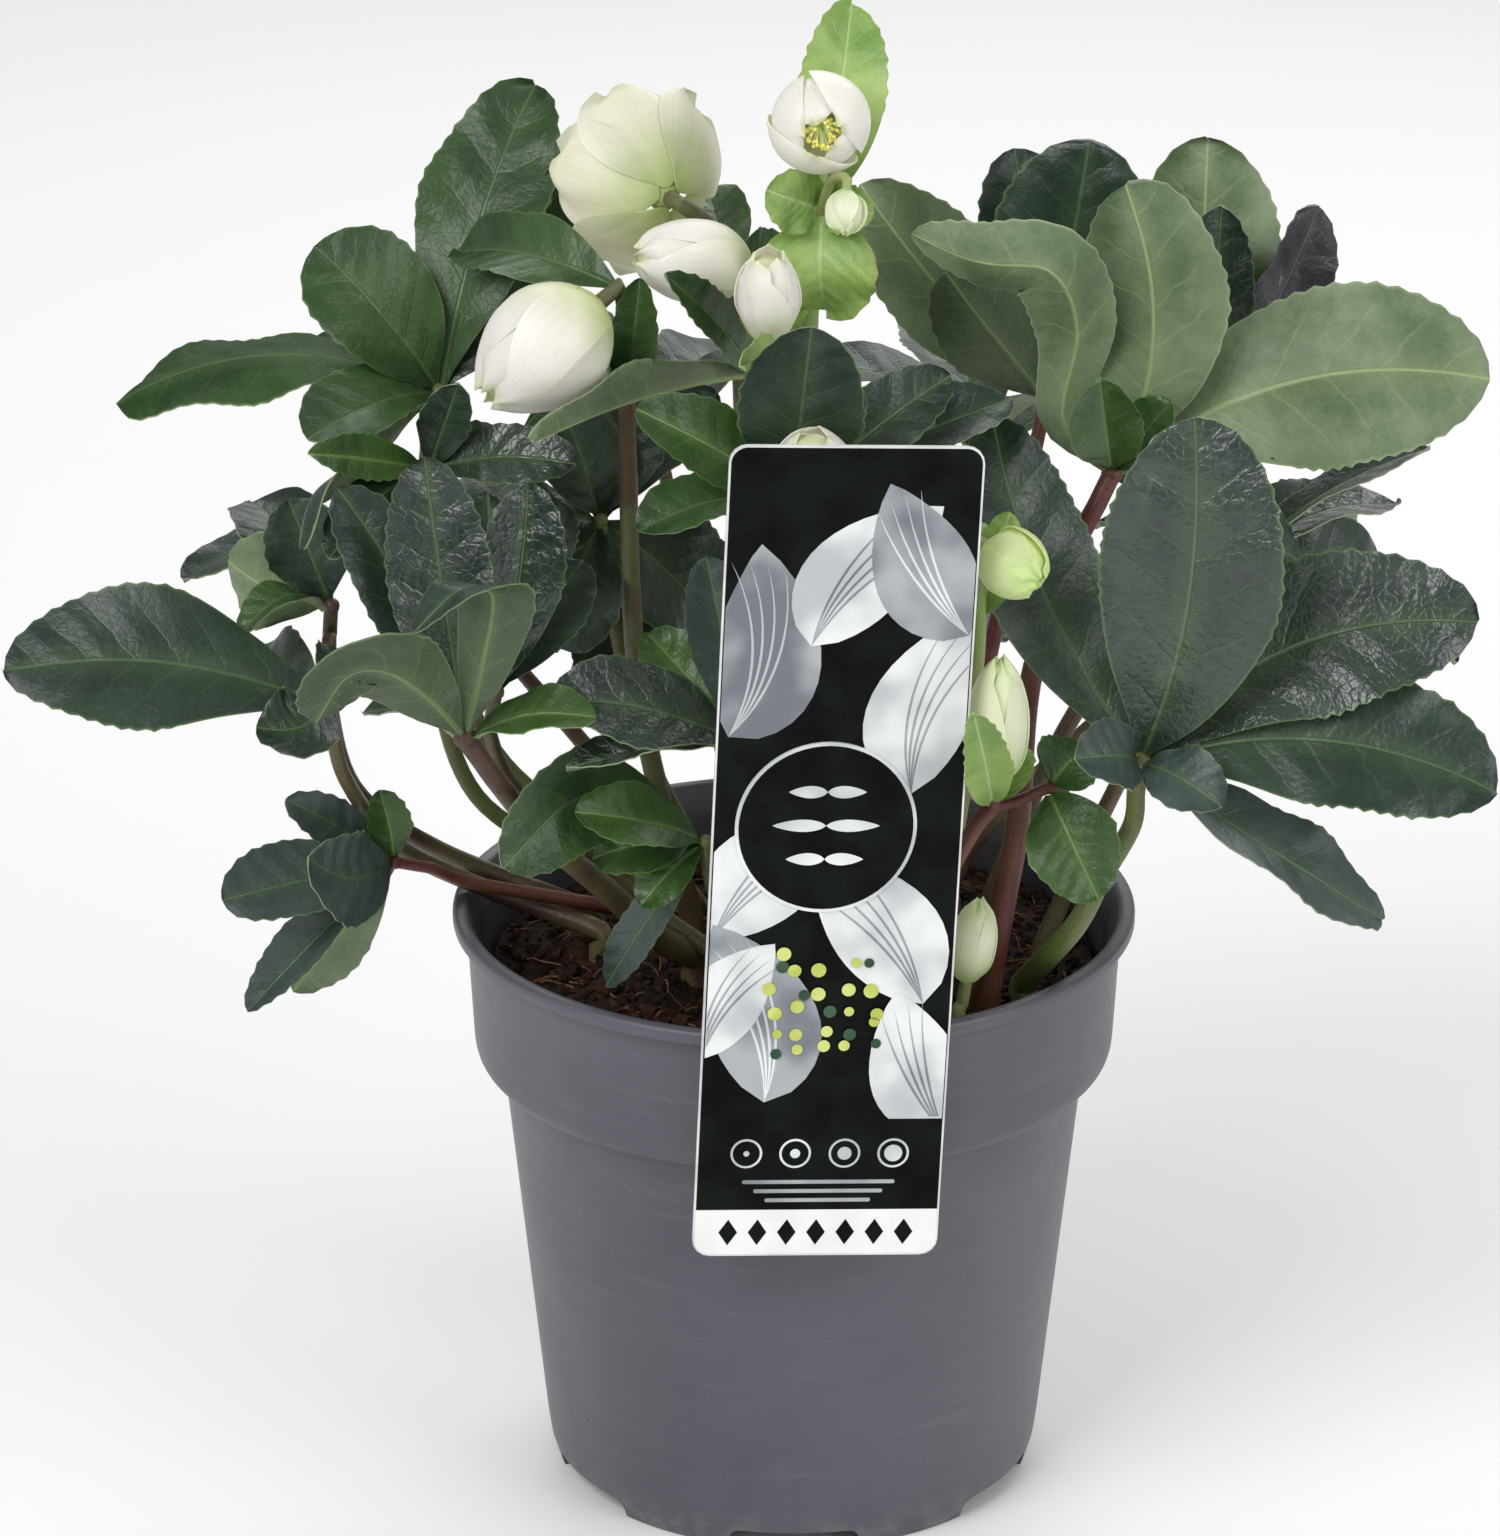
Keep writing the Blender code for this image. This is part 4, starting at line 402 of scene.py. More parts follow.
# Flower stalks with their bracts, and what each one carries
FLOWER_STALKS = [
    {
        "name": "flower_stalk_top", "root": (8, 4), "radius": 1.9, "carries": "bloom_globe",
        "path": [seen(802, 700, 0), seen(806, 420, 2), seen(812, 240, 0), seen(810, 172, 0)],
        "branches": [("bloom_hanging", [seen(812, 204, 0), seen(828, 186, -12)], 0.8)],
        "bracts": [
            bract((811, 178, 0), (852, 2, 8), 16, fit=(3, 1), roll=8, bow=3, cup=22),
            bract((812, 184, 0), (826, 312, -26), 21, fit=(17, 1), roll=8, bow=4, cup=20),
            bract((812, 182, 0), (766, 190, -16), 12, fit=(3, 1), roll=0, bow=2, cup=20),
            bract((812, 184, 0), (874, 214, -14), 9, roll=-10, bow=2, cup=20),
        ],
    },
    {
        "name": "flower_stalk_half_open", "root": (0, -4), "radius": 2.0, "carries": "bloom_half_open",
        "path": [seen(770, 720, -4), seen(768, 480, -14)],
        "branches": [],
        "bracts": [
            bract((772, 376, -18), (742, 366, -34), 10, fit=(-6, 1), roll=10, bow=2, cup=22),
            bract((772, 376, -18), (800, 262, -16), 9, fit=(17, 0.86), roll=0, bow=2, cup=26),
            bract((772, 384, -18), (744, 258, -15), 9, fit=(6, 0.72), roll=0, bow=2, cup=26),
        ],
    },
    {
        "name": "flower_stalk_open", "root": (-4, 18), "radius": 1.7, "carries": "bloom_open",
        "path": [seen(740, 640, 16), seen(742, 400, 16), seen(724, 250, 8)],
        "branches": [],
        "bracts": [
            bract((736, 300, 12), (706, 184, 20), 12, fit=(13, 1), roll=10, bow=2, cup=16, tone="mid"),
            bract((740, 320, 13), (786, 250, 22), 11, roll=0, bow=2, cup=16, tone="mid"),
        ],
    },
    {
        "name": "flower_stalk_egg", "root": (-4, 9), "radius": 1.8, "carries": "bloom_egg",
        "path": [seen(742, 620, 4), seen(744, 420, 4), seen(764, 312, 2)],
        "branches": [],
        "bracts": [
            bract((748, 372, 0), (530, 440, -46), 12, roll=118, bow=3, cup=30, tone="under"),
            bract((752, 366, 0), (666, 274, -22), 9, fit=(-3, 1), roll=30, bow=3, cup=26, tone="mid"),
        ],
    },
    {
        "name": "flower_stalk_tulip", "root": (-18, 4), "radius": 1.8, "carries": "bloom_tulip",
        "path": [seen(640, 700, -2), seen(628, 460, -8), seen(628, 330, -13)],
        "branches": [],
        "bracts": [
            bract((622, 292, -12), (458, 250, -2), 15, fit=(13, 1), roll=30, bow=5, cup=24, tone="mid"),
            bract((628, 352, -13), (506, 440, -48), 10, fit=(22, 0.86), roll=100, bow=3, cup=34, tone="mid"),
            bract((628, 360, -13), (640, 278, -34), 9, fit=(17, 1), roll=0, bow=3, cup=26, tone="mid"),
        ],
    },
    {
        "name": "flower_stalk_green", "root": (23, -25), "radius": 1.7, "carries": "bloom_green",
        "path": [seen(960, 800, -32), seen(976, 660, -38), seen(978, 580, -42)],
        "branches": [],
        "bracts": [
            bract((977, 590, -42), (1010, 512, -40), 9, roll=0, bow=2, cup=24),
            bract((977, 594, -42), (972, 520, -50), 8, fit=(17, 1), roll=20, bow=2, cup=24),
        ],
    },
    {
        "name": "flower_stalk_pale", "root": (20, -33), "radius": 1.7, "carries": "bloom_pale",
        "path": [seen(938, 900, -43), seen(972, 832, -47)],
        "branches": [("bloom_side", [seen(984, 815, -47), seen(1020, 800, -45), seen(1048, 788, -43)], 1.0)],
        "bracts": [
            bract((986, 806, -47), (974, 714, -57), 9, fit=(-17, 1), roll=10, bow=2, cup=26),
            bract((986, 806, -47), (1026, 746, -54), 8, fit=(13, 1), roll=-10, bow=2, cup=26),
            bract((1040, 792, -44), (1098, 898, -54), 16, roll=0, bow=3, cup=16, tone="bright"),
            bract((1040, 792, -44), (1084, 750, -40), 12, roll=-10, bow=3, cup=18, tone="bright"),
        ],
    },
    {
        "name": "flower_stalk_low", "root": (28, -37), "radius": 1.4, "carries": "bloom_low",
        "path": [],
        "branches": [],
        "bracts": [],
    },
    {
        "name": "flower_stalk_hidden", "root": (8, -28), "radius": 1.6, "carries": "bloom_hidden",
        "path": [seen(832, 800, -34), seen(826, 620, -38)],
        "branches": [],
        "bracts": [
            bract((826, 560, -40), (870, 480, -36), 9, fit=(3, 1), roll=0, bow=2, cup=20),
            bract((826, 560, -40), (780, 560, -46), 9, roll=0, bow=2, cup=20),
        ],
    },
]

# Profiles of the flowers: (share of the length, share of the radius)
TULIP = [(0.0, 0.16), (0.10, 0.62), (0.34, 0.98), (0.62, 0.94), (0.86, 0.60), (1.0, 0.16)]
EGG = [(0.0, 0.16), (0.08, 0.56), (0.30, 0.96), (0.62, 0.96), (0.90, 0.60), (1.0, 0.14)]
GLOBE = [(0.0, 0.16), (0.06, 0.55), (0.30, 0.98), (0.62, 0.98), (0.88, 0.66), (1.0, 0.34)]
OPEN = [(0.0, 0.10), (0.12, 0.34), (0.36, 0.68), (0.70, 0.92), (1.0, 1.02)]
HALF_OPEN = [(0.0, 0.16), (0.10, 0.60), (0.42, 1.0), (0.75, 0.88), (1.0, 0.46)]

BLOOMS = [
    bloom("bloom_globe", (818, 110, -4), (822, 136, -19), 8.2, GLOBE, spin=20, stamens=True),
    bloom("bloom_open", (670, 198, -1), (628, 172, 13), 15.5, OPEN, spin=8, stamens=True),
    bloom("bloom_tulip", (600, 302, -18), (486, 398, -30), 10.6, TULIP, spin=30),
    bloom("bloom_egg", (750, 266, -4), (636, 256, -13), 7.2, EGG, spin=12),
    bloom("bloom_half_open", (770, 342, -21), (768, 254, -25), 5.4, HALF_OPEN, spin=40),
    bloom("bloom_hanging", (846, 190, -21), (846, 234, -26), 2.9, EGG),
    bloom("bloom_green", (988, 548, -45), (1040, 580, -54), 5.6, EGG),
    bloom("bloom_pale", (994, 786, -48), (1000, 660, -54), 5.4, EGG, spin=15),
    bloom("bloom_side", (1060, 812, -42), (1044, 878, -46), 3.4, EGG),
    bloom("bloom_low", (966, 982, -37), (980, 900, -38), 4.0, EGG, spin=15),
    bloom("bloom_hidden", (816, 520, -42), (812, 440, -50), 7.5, GLOBE, spin=18),
]


# Materials

class Nodes:
    """Short way to wire the nodes of one material."""

    def __init__(self, name, roughness, specular=0.5):
        self.made = bpy.data.materials.new(name)
        self.made.use_nodes = True
        self.tree = self.made.node_tree
        self.shader = self.tree.nodes["Principled BSDF"]
        self.shader.inputs["Roughness"].default_value = roughness
        self.shader.inputs["Specular IOR Level"].default_value = specular

    def put(self, socket, value):
        if isinstance(value, bpy.types.NodeSocket):
            self.tree.links.new(value, socket)
        elif isinstance(value, tuple) and len(value) == 3 and socket.type == "RGBA":
            socket.default_value = (*value, 1.0)
        else:
            socket.default_value = value

    def add(self, kind, output=0, settings=None, **inputs):
        node = self.tree.nodes.new(kind)
        for name, value in (settings or {}).items():
            setattr(node, name, value)
        for name, value in inputs.items():
            self.put(node.inputs[name.replace("_", " ")], value)
        return node.outputs[output]

    def math(self, operation, first, second=0.0):
        node = self.tree.nodes.new("ShaderNodeMath")
        node.operation = operation
        self.put(node.inputs[0], first)
        self.put(node.inputs[1], second)
        return node.outputs[0]

    def ramp(self, value, low, high, start=0.0, end=1.0):
        """Smooth step of a value from low to high."""
        node = self.tree.nodes.new("ShaderNodeMapRange")
        node.interpolation_type = "SMOOTHSTEP"
        for name, given in (("Value", value), ("From Min", low), ("From Max", high),
                            ("To Min", start), ("To Max", end)):
            self.put(node.inputs[name], given)
        return node.outputs[0]

    def mix(self, amount, first, second, blend="MIX"):
        node = self.tree.nodes.new("ShaderNodeMix")
        node.data_type = "RGBA"
        node.blend_type = blend
        self.put(node.inputs[0], amount)
        self.put(node.inputs[6], first)
        self.put(node.inputs[7], second)
        return node.outputs[2]

    def noise(self, vector, scale, detail=3.0, rough=0.55):
        return self.add("ShaderNodeTexNoise", Vector=vector, Scale=scale, Detail=detail, Roughness=rough)

    def split(self, name):
        """Attribute of the mesh and its three parts."""
        node = self.tree.nodes.new("ShaderNodeAttribute")
        node.attribute_name = name
        parts = self.tree.nodes.new("ShaderNodeSeparateXYZ")
        self.tree.links.new(node.outputs["Vector"], parts.inputs[0])
        return node.outputs["Vector"], parts.outputs[0], parts.outputs[1], parts.outputs[2]

    def place(self):
        """Position in millimetres."""
        where = self.add("ShaderNodeTexCoord", 3)
        node = self.tree.nodes.new("ShaderNodeVectorMath")
        node.operation = "SCALE"
        self.tree.links.new(where, node.inputs[0])
        node.inputs["Scale"].default_value = 1000.0
        return node.outputs[0]

    def finish(self, colour, height=None, distance=0.0002, strength=0.6, roughness=None):
        self.put(self.shader.inputs["Base Color"], colour)
        if roughness is not None:
            self.put(self.shader.inputs["Roughness"], roughness)
        if height is not None:
            bump = self.add("ShaderNodeBump", Height=height, Distance=distance, Strength=strength)
            self.tree.links.new(bump, self.shader.inputs["Normal"])
        return self.made


def leaf_material(name, dark, light, vein, edge, roughness, relief=1.0, veined=0.45, gloss=0.5, glow=0.0):
    """Leaf with a midrib, side veins that run forward, a fine net between them and cloudy colour."""
    net = Nodes(name, roughness, gloss)
    _, column, share, seed = net.split("blade")
    flat, x, y, spacing = net.split("vein")
    away = net.math("ABSOLUTE", x)
    rib_reach = net.math("SUBTRACT", 0.75, net.math("MULTIPLY", share, 0.45))
    rib = net.math("SUBTRACT", 1.0, net.ramp(away, 0.12, rib_reach))
    wobble = net.math("MULTIPLY", net.math("SUBTRACT", net.noise(flat, 0.22, 3.0), 0.5), 3.4)
    run = net.math("SUBTRACT", net.math("ADD", y, wobble), net.math("MULTIPLY", away, 0.8))
    beat = net.math("DIVIDE", run, spacing)
    near = net.math("PINGPONG", beat, 0.5)
    side = net.math("SUBTRACT", 1.0, net.ramp(near, 0.006, 0.06))
    side = net.math("MULTIPLY", side, net.ramp(net.math("ABSOLUTE", column), 0.96, 0.55))
    cells = net.add("ShaderNodeTexVoronoi", settings={"feature": "DISTANCE_TO_EDGE"}, Vector=flat, Scale=0.62)
    fine = net.math("SUBTRACT", 1.0, net.ramp(cells, 0.0, 0.08))
    cloud = net.noise(flat, 0.07, 4.0, 0.55)
    speck = net.noise(flat, 0.9, 2.0)
    tone = net.math("ADD", net.math("MULTIPLY", cloud, 0.9), net.math("MULTIPLY", speck, 0.12))
    shade = net.ramp(tone, 0.36, 0.68)
    colour = net.mix(shade, dark, light)
    swing = net.add("ShaderNodeTexWhiteNoise", settings={"noise_dimensions": "1D"}, W=seed)
    colour = net.mix(net.math("MULTIPLY", swing, 0.4), colour, tuple(0.62 * part for part in dark))
    inner = net.math("SUBTRACT", 1.0, net.ramp(net.math("ABSOLUTE", column), 0.0, 0.42))
    colour = net.mix(net.math("MULTIPLY", inner, 0.16), colour, vein)
    worn = net.ramp(net.noise(flat, 0.16, 5.0, 0.7), 0.56, 0.74)
    dust = net.add("ShaderNodeTexVoronoi", Vector=flat, Scale=0.85)
    spot = net.math("MULTIPLY", net.math("SUBTRACT", 1.0, net.ramp(dust, 0.05, 0.20)), worn)
    colour = net.mix(net.math("MULTIPLY", spot, 0.22), colour, (0.42, 0.44, 0.38))
    colour = net.mix(net.math("MULTIPLY", worn, 0.10), colour, (0.30, 0.34, 0.30))
    lines = net.math("MAXIMUM", net.math("MULTIPLY", side, 0.30), net.math("MULTIPLY", fine, 0.12))
    lines = net.math("MAXIMUM", lines, rib)
    colour = net.mix(net.math("MULTIPLY", lines, veined), colour, vein)
    rim = net.ramp(net.math("ABSOLUTE", column), 0.95, 1.0)
    colour = net.mix(net.math("MULTIPLY", rim, 0.55), colour, edge)
    puff = net.math("MULTIPLY", near, 0.6)
    height = net.math("SUBTRACT", puff, net.math("MULTIPLY", lines, 0.35))
    height = net.math("ADD", height, net.math("MULTIPLY", net.math("MINIMUM", cells, 0.3), 0.16))
    height = net.math("ADD", height, net.math("MULTIPLY", net.noise(flat, 0.26, 3.0), 0.85))
    shine = net.math("ADD", roughness - 0.08, net.math("MULTIPLY", net.noise(flat, 0.3, 3.0), 0.17))
    if glow:
        net.shader.inputs["Subsurface Weight"].default_value = glow
        net.shader.inputs["Subsurface Radius"].default_value = (0.5, 1.0, 0.25)
        net.shader.inputs["Subsurface Scale"].default_value = 0.0015
    return net.finish(colour, height, 0.0006 * relief, 0.6, shine)


def petal_material(name, pale, green, base_reach, tip_reach):
    """Waxy petal: green at its foot and tip, with faint lines that fan out along it, and a painted glow of
    its own colour for light shining through.
    """
    net = Nodes(name, 0.42, 0.4)
    where, column, share, _ = net.split("blade")
    wander = net.math("MULTIPLY", net.noise(where, 4.0), 0.8)
    lines = net.math("PINGPONG", net.math("ADD", net.math("MULTIPLY", column, 7.0), wander), 0.5)
    streak = net.math("SUBTRACT", 1.0, net.ramp(lines, 0.02, 0.2))
    place = net.place()
    cloud = net.noise(place, 0.16, 3.0)
    foot = net.ramp(net.math("ADD", share, net.math("MULTIPLY", cloud, 0.3)), base_reach + 0.15, 0.1)
    head = net.ramp(net.math("ADD", share, net.math("MULTIPLY", cloud, 0.2)), tip_reach, 1.12)
    middle = net.math("SUBTRACT", 1.0, net.ramp(net.math("ABSOLUTE", column), 0.0, 0.5))
    tint = net.math("MAXIMUM", foot, net.math("MULTIPLY", head, 0.6))
    tint = net.math("MAXIMUM", tint, net.math("MULTIPLY", middle, 0.10))
    colour = net.mix(tint, pale, green)
    colour = net.mix(net.math("MULTIPLY", streak, 0.07), colour, tuple(0.8 * part for part in green))
    height = net.math("ADD", net.math("MULTIPLY", lines, 0.15), cloud)
    net.shader.inputs["Subsurface Weight"].default_value = 0.35
    net.shader.inputs["Subsurface Radius"].default_value = (1.0, 1.0, 0.6)
    net.shader.inputs["Subsurface Scale"].default_value = 0.0016
    # Painted light: the petal glows faintly in its own colour. This stands for light shining through it and
    # lifts the shade inside the flowers.
    net.put(net.shader.inputs["Emission Color"], colour)
    net.shader.inputs["Emission Strength"].default_value = 0.10
    return net.finish(colour, height, 0.00025, 0.5)


def stalk_material(name, ground, speckle, blush, amount):
    """Stalk with fine speckles, streaks along it and a second colour in patches."""
    net = Nodes(name, 0.42, 0.45)
    place = net.place()
    patch = net.ramp(net.noise(place, 0.05, 3.0), 0.40, 0.62)
    colour = net.mix(patch, ground, blush)
    dots = net.add("ShaderNodeTexVoronoi", Vector=place, Scale=1.3)
    spot = net.math("SUBTRACT", 1.0, net.ramp(dots, 0.12, 0.34))
    spot = net.math("MULTIPLY", spot, net.ramp(net.noise(place, 0.4, 2.0), 0.35, 0.6))
    colour = net.mix(net.math("MULTIPLY", spot, amount), colour, speckle)
    fine = net.noise(place, 1.6, 4.0, 0.65)
    colour = net.mix(net.ramp(fine, 0.5, 0.8, 0.0, 0.35), colour, tuple(1.35 * part for part in ground))
    return net.finish(colour, net.math("ADD", fine, net.math("MULTIPLY", spot, 0.4)), 0.0002, 0.6)


def plain_material(name, low, high, scale, roughness, bump=0.0002, specular=0.5, glow=0.0):
    """Two colours clouded together at two sizes; glow is a painted glow of that colour, which stands for
    light that shines through and lifts shade.
    """
    net = Nodes(name, roughness, specular)
    place = net.place()
    cloud = net.noise(place, scale, 5.0, 0.62)
    fine = net.noise(place, scale * 9.0, 2.0)
    both = net.math("ADD", net.math("MULTIPLY", cloud, 0.75), net.math("MULTIPLY", fine, 0.25))
    amount = net.ramp(both, 0.36, 0.66)
    colour = net.mix(amount, low, high)
    # Painted light: with glow set, the colour also glows at that strength. This brightens the part where it
    # sits in shade inside a flower.
    if glow:
        net.put(net.shader.inputs["Emission Color"], colour)
        net.shader.inputs["Emission Strength"].default_value = glow
    return net.finish(colour, net.math("ADD", cloud, fine), bump, 0.5)


def pot_material():
    """Satin grey plastic: pale and dark specks, faint streaks round it and a dusty foot."""
    net = Nodes("pot_plastic", 0.42, 0.5)
    place = net.place()
    parts = net.tree.nodes.new("ShaderNodeSeparateXYZ")
    net.tree.links.new(place, parts.inputs[0])
    cloud = net.noise(place, 0.018, 4.0, 0.6)
    colour = net.mix(net.ramp(cloud, 0.35, 0.65), (0.078, 0.075, 0.096), (0.094, 0.091, 0.114))
    flat = net.tree.nodes.new("ShaderNodeCombineXYZ")
    net.tree.links.new(net.math("MULTIPLY", parts.outputs[2], 0.25), flat.inputs[2])
    net.tree.links.new(net.math("MULTIPLY", parts.outputs[0], 0.02), flat.inputs[0])
    rings = net.noise(flat.outputs[0], 2.2, 3.0)
    colour = net.mix(net.ramp(rings, 0.5, 0.75, 0.0, 0.18), colour, (0.17, 0.165, 0.19))
    specks = net.add("ShaderNodeTexVoronoi", Vector=place, Scale=0.33)
    speck = net.math("SUBTRACT", 1.0, net.ramp(specks, 0.03, 0.085))
    colour = net.mix(net.math("MULTIPLY", speck, 0.30), colour, (0.30, 0.29, 0.31))
    grit = net.add("ShaderNodeTexVoronoi", Vector=place, Scale=0.21)
    dark = net.math("SUBTRACT", 1.0, net.ramp(grit, 0.02, 0.05))
    colour = net.mix(net.math("MULTIPLY", dark, 0.5), colour, (0.06, 0.045, 0.04))
    patches = net.ramp(net.noise(place, 0.25, 5.0), 0.42, 0.62)
    dust = net.math("MULTIPLY", net.ramp(parts.outputs[2], 9.0, 0.0), patches)
    colour = net.mix(net.math("MULTIPLY", dust, 0.35), colour, (0.24, 0.22, 0.21))
    fine = net.noise(place, 1.3, 3.0)
    shine = net.math("ADD", 0.34, net.math("MULTIPLY", net.noise(place, 0.06, 5.0, 0.65), 0.18))
    return net.finish(colour, net.math("ADD", fine, net.math("MULTIPLY", rings, 0.6)), 0.00006, 0.5, shine)


def print_material(name, low, high, scale=0.12, gloss=0.25):
    """Printed ink with a soft change of tone, under a glossy film."""
    net = Nodes(name, 0.32, gloss)
    place = net.place()
    cloud = net.noise(place, scale, 2.0, 0.5)
    dots = net.add("ShaderNodeTexVoronoi", Vector=place, Scale=3.0)
    colour = net.mix(net.ramp(cloud, 0.35, 0.65), low, high)
    colour = net.mix(net.ramp(dots, 0.25, 0.0, 0.0, 0.12), colour, tuple(0.8 * part for part in low))
    return net.finish(colour, cloud, 0.00004, 0.3)


def soil_material(name, low, high, warm):
    """Dark peat with lighter and redder grains."""
    net = Nodes(name, 0.9, 0.25)
    place = net.place()
    grain = net.noise(place, 0.55, 6.0, 0.7)
    patch = net.noise(place, 0.12, 3.0)
    colour = net.mix(net.ramp(grain, 0.40, 0.68), low, high)
    colour = net.mix(net.math("MULTIPLY", net.ramp(patch, 0.52, 0.70), 0.6), colour, warm)
    cells = net.add("ShaderNodeTexVoronoi", Vector=place, Scale=1.1)
    return net.finish(colour, net.math("ADD", grain, net.math("MULTIPLY", cells, 0.6)), 0.0009, 0.9)


def make_materials():
    """All materials of the plant, by name."""
    vein = (0.120, 0.190, 0.075)
    edge = (0.120, 0.200, 0.060)
    made = {
        "dark": leaf_material("leaf_dark", (0.011, 0.027, 0.018), (0.030, 0.056, 0.034), vein, edge, 0.38),
        "mid": leaf_material("leaf_mid", (0.016, 0.050, 0.011), (0.046, 0.108, 0.024), vein, edge, 0.38),
        "bright": leaf_material("leaf_bright", (0.018, 0.058, 0.009), (0.052, 0.118, 0.020),
                                (0.20, 0.32, 0.09), edge, 0.38, glow=0.1),
        "matte": leaf_material("leaf_matte", (0.014, 0.042, 0.011), (0.038, 0.086, 0.024), vein, edge, 0.62,
                               gloss=0.12),
        "grey": leaf_material("leaf_grey", (0.034, 0.056, 0.050), (0.078, 0.108, 0.096), vein, edge, 0.42),
        "gloss": leaf_material("leaf_gloss", (0.012, 0.026, 0.018), (0.034, 0.056, 0.038), vein, edge, 0.30,
                               relief=2.0, gloss=0.8),
        "purple": leaf_material("leaf_purple", (0.024, 0.024, 0.029), (0.056, 0.056, 0.066),
                                (0.12, 0.12, 0.13), (0.11, 0.11, 0.11), 0.42, relief=1.6),
        "under": leaf_material("leaf_under", (0.092, 0.142, 0.064), (0.225, 0.290, 0.165),
                               (0.36, 0.45, 0.20), (0.30, 0.38, 0.20), 0.50, relief=0.8, veined=0.6),
        "shade": leaf_material("leaf_shade", (0.038, 0.064, 0.026), (0.076, 0.112, 0.052),
                               (0.22, 0.30, 0.12), (0.20, 0.28, 0.12), 0.48, relief=0.8, veined=0.6),
        "under_bright": leaf_material("leaf_under_bright", (0.110, 0.210, 0.055), (0.200, 0.340, 0.095),
                                      (0.33, 0.45, 0.20), edge, 0.5, relief=0.8, glow=0.1),
        "bract": leaf_material("bract_upper", (0.170, 0.310, 0.060), (0.380, 0.520, 0.150),
                               (0.50, 0.64, 0.30), (0.30, 0.24, 0.10), 0.42,
                               relief=0.9, veined=0.5, glow=0.15),
        "bract_under": leaf_material("bract_under", (0.220, 0.360, 0.110), (0.380, 0.520, 0.200),
                                     (0.48, 0.60, 0.30), (0.34, 0.38, 0.18), 0.5, relief=0.8, glow=0.15),
        "petal_white": petal_material("petal_white", (0.80, 0.765, 0.70), (0.46, 0.52, 0.17), 0.66, 0.97),
        "petal_back": petal_material("petal_back", (0.72, 0.69, 0.55), (0.30, 0.40, 0.12), 0.80, 0.97),
        "petal_pale": petal_material("petal_pale", (0.76, 0.80, 0.56), (0.48, 0.62, 0.24), 0.62, 0.72),
        "petal_green": petal_material("petal_green", (0.70, 0.80, 0.38), (0.36, 0.56, 0.12), 0.55, 0.6),
        # Carpels, threads and anthers get a painted glow (glow=...), which brightens them in the shade inside
        # the flowers.
        "carpel": plain_material("carpel", (0.30, 0.40, 0.08), (0.50, 0.60, 0.18), 0.5, 0.5, glow=0.15),
        "filament": plain_material("filament", (0.55, 0.62, 0.25), (0.74, 0.78, 0.46), 0.5, 0.5, glow=0.25),
        "anther": plain_material("anther", (0.66, 0.58, 0.09), (0.84, 0.78, 0.26), 0.8, 0.6, glow=0.25),
        "brown": stalk_material("stem_brown", (0.120, 0.098, 0.044), (0.030, 0.010, 0.008),
                                (0.070, 0.032, 0.024), 0.9),
        "red": stalk_material("stem_red", (0.098, 0.020, 0.020), (0.030, 0.006, 0.008),
                              (0.150, 0.062, 0.036), 0.7),
        "green": stalk_material("stem_green", (0.115, 0.160, 0.045), (0.040, 0.030, 0.015),
                                (0.140, 0.130, 0.055), 0.75),
        "light": stalk_material("stem_light", (0.290, 0.400, 0.130), (0.200, 0.120, 0.060),
                                (0.340, 0.350, 0.150), 0.3),
        "dusky": stalk_material("stem_dusky", (0.130, 0.150, 0.060), (0.060, 0.020, 0.015),
                                (0.120, 0.070, 0.040), 0.8),
        "soil": soil_material("soil_peat", (0.010, 0.005, 0.004), (0.045, 0.022, 0.015),
                              (0.075, 0.028, 0.014)),
        "crumb": soil_material("soil_crumb", (0.014, 0.007, 0.005), (0.070, 0.034, 0.022),
                               (0.110, 0.045, 0.022)),
        "fibre": plain_material("soil_fibre", (0.100, 0.038, 0.018), (0.240, 0.110, 0.055), 0.4, 0.8),
        "pot": pot_material(),
        "card": print_material("label_card", (0.60, 0.61, 0.60), (0.74, 0.75, 0.74)),
        "ink_dark": print_material("ink_dark", (0.002, 0.002, 0.002), (0.005, 0.008, 0.006), gloss=0.08),
        "ink_pale": print_material("ink_pale", (0.46, 0.49, 0.51), (0.80, 0.82, 0.82), 0.07),
        "ink_grey": print_material("ink_grey", (0.16, 0.18, 0.20), (0.40, 0.43, 0.45), 0.07),
        "ink_white": print_material("ink_white", (0.80, 0.81, 0.80), (0.86, 0.87, 0.86)),
        "ink_lime": print_material("ink_lime", (0.46, 0.52, 0.10), (0.62, 0.68, 0.22)),
        "ink_green": print_material("ink_green", (0.02, 0.06, 0.03), (0.05, 0.11, 0.06)),
    }
    return made


MATERIALS = make_materials()
TONES = {
    "dark": ("dark", "under"), "mid": ("mid", "under"), "bright": ("bright", "under_bright"),
    "grey": ("grey", "under"), "gloss": ("gloss", "under"), "purple": ("purple", "purple"),
    "under": ("dark", "under"), "shade": ("dark", "shade"), "matte": ("matte", "under"),
    "bract": ("bract", "bract_under"),
}
STEM_TONES = {
    "frond_upper_right": "red", "frond_back_right": "red", "frond_right": "green", "frond_low_left": "red",
    "frond_young": "green", "frond_lower_centre": "green", "frond_centre": "green",
    "flower_stalk_pale": "red",
    "flower_stalk_tulip": "dusky", "flower_stalk_open": "dusky", "flower_stalk_egg": "dusky",
    "frond_inner_left": "green", "frond_middle_left": "green", "frond_upper_left": "green",
}
PETAL_TONES = {
    "bloom_open": "petal_back",
    "bloom_green": "petal_green", "bloom_pale": "petal_pale", "bloom_hanging": "petal_pale",
    "bloom_low": "petal_pale",
}
PIECES = bpy.data.collections.new("pieces")
bpy.context.scene.collection.children.link(PIECES)
FLOWERS = {flower["name"]: flower for flower in BLOOMS}


# Curves and sheets

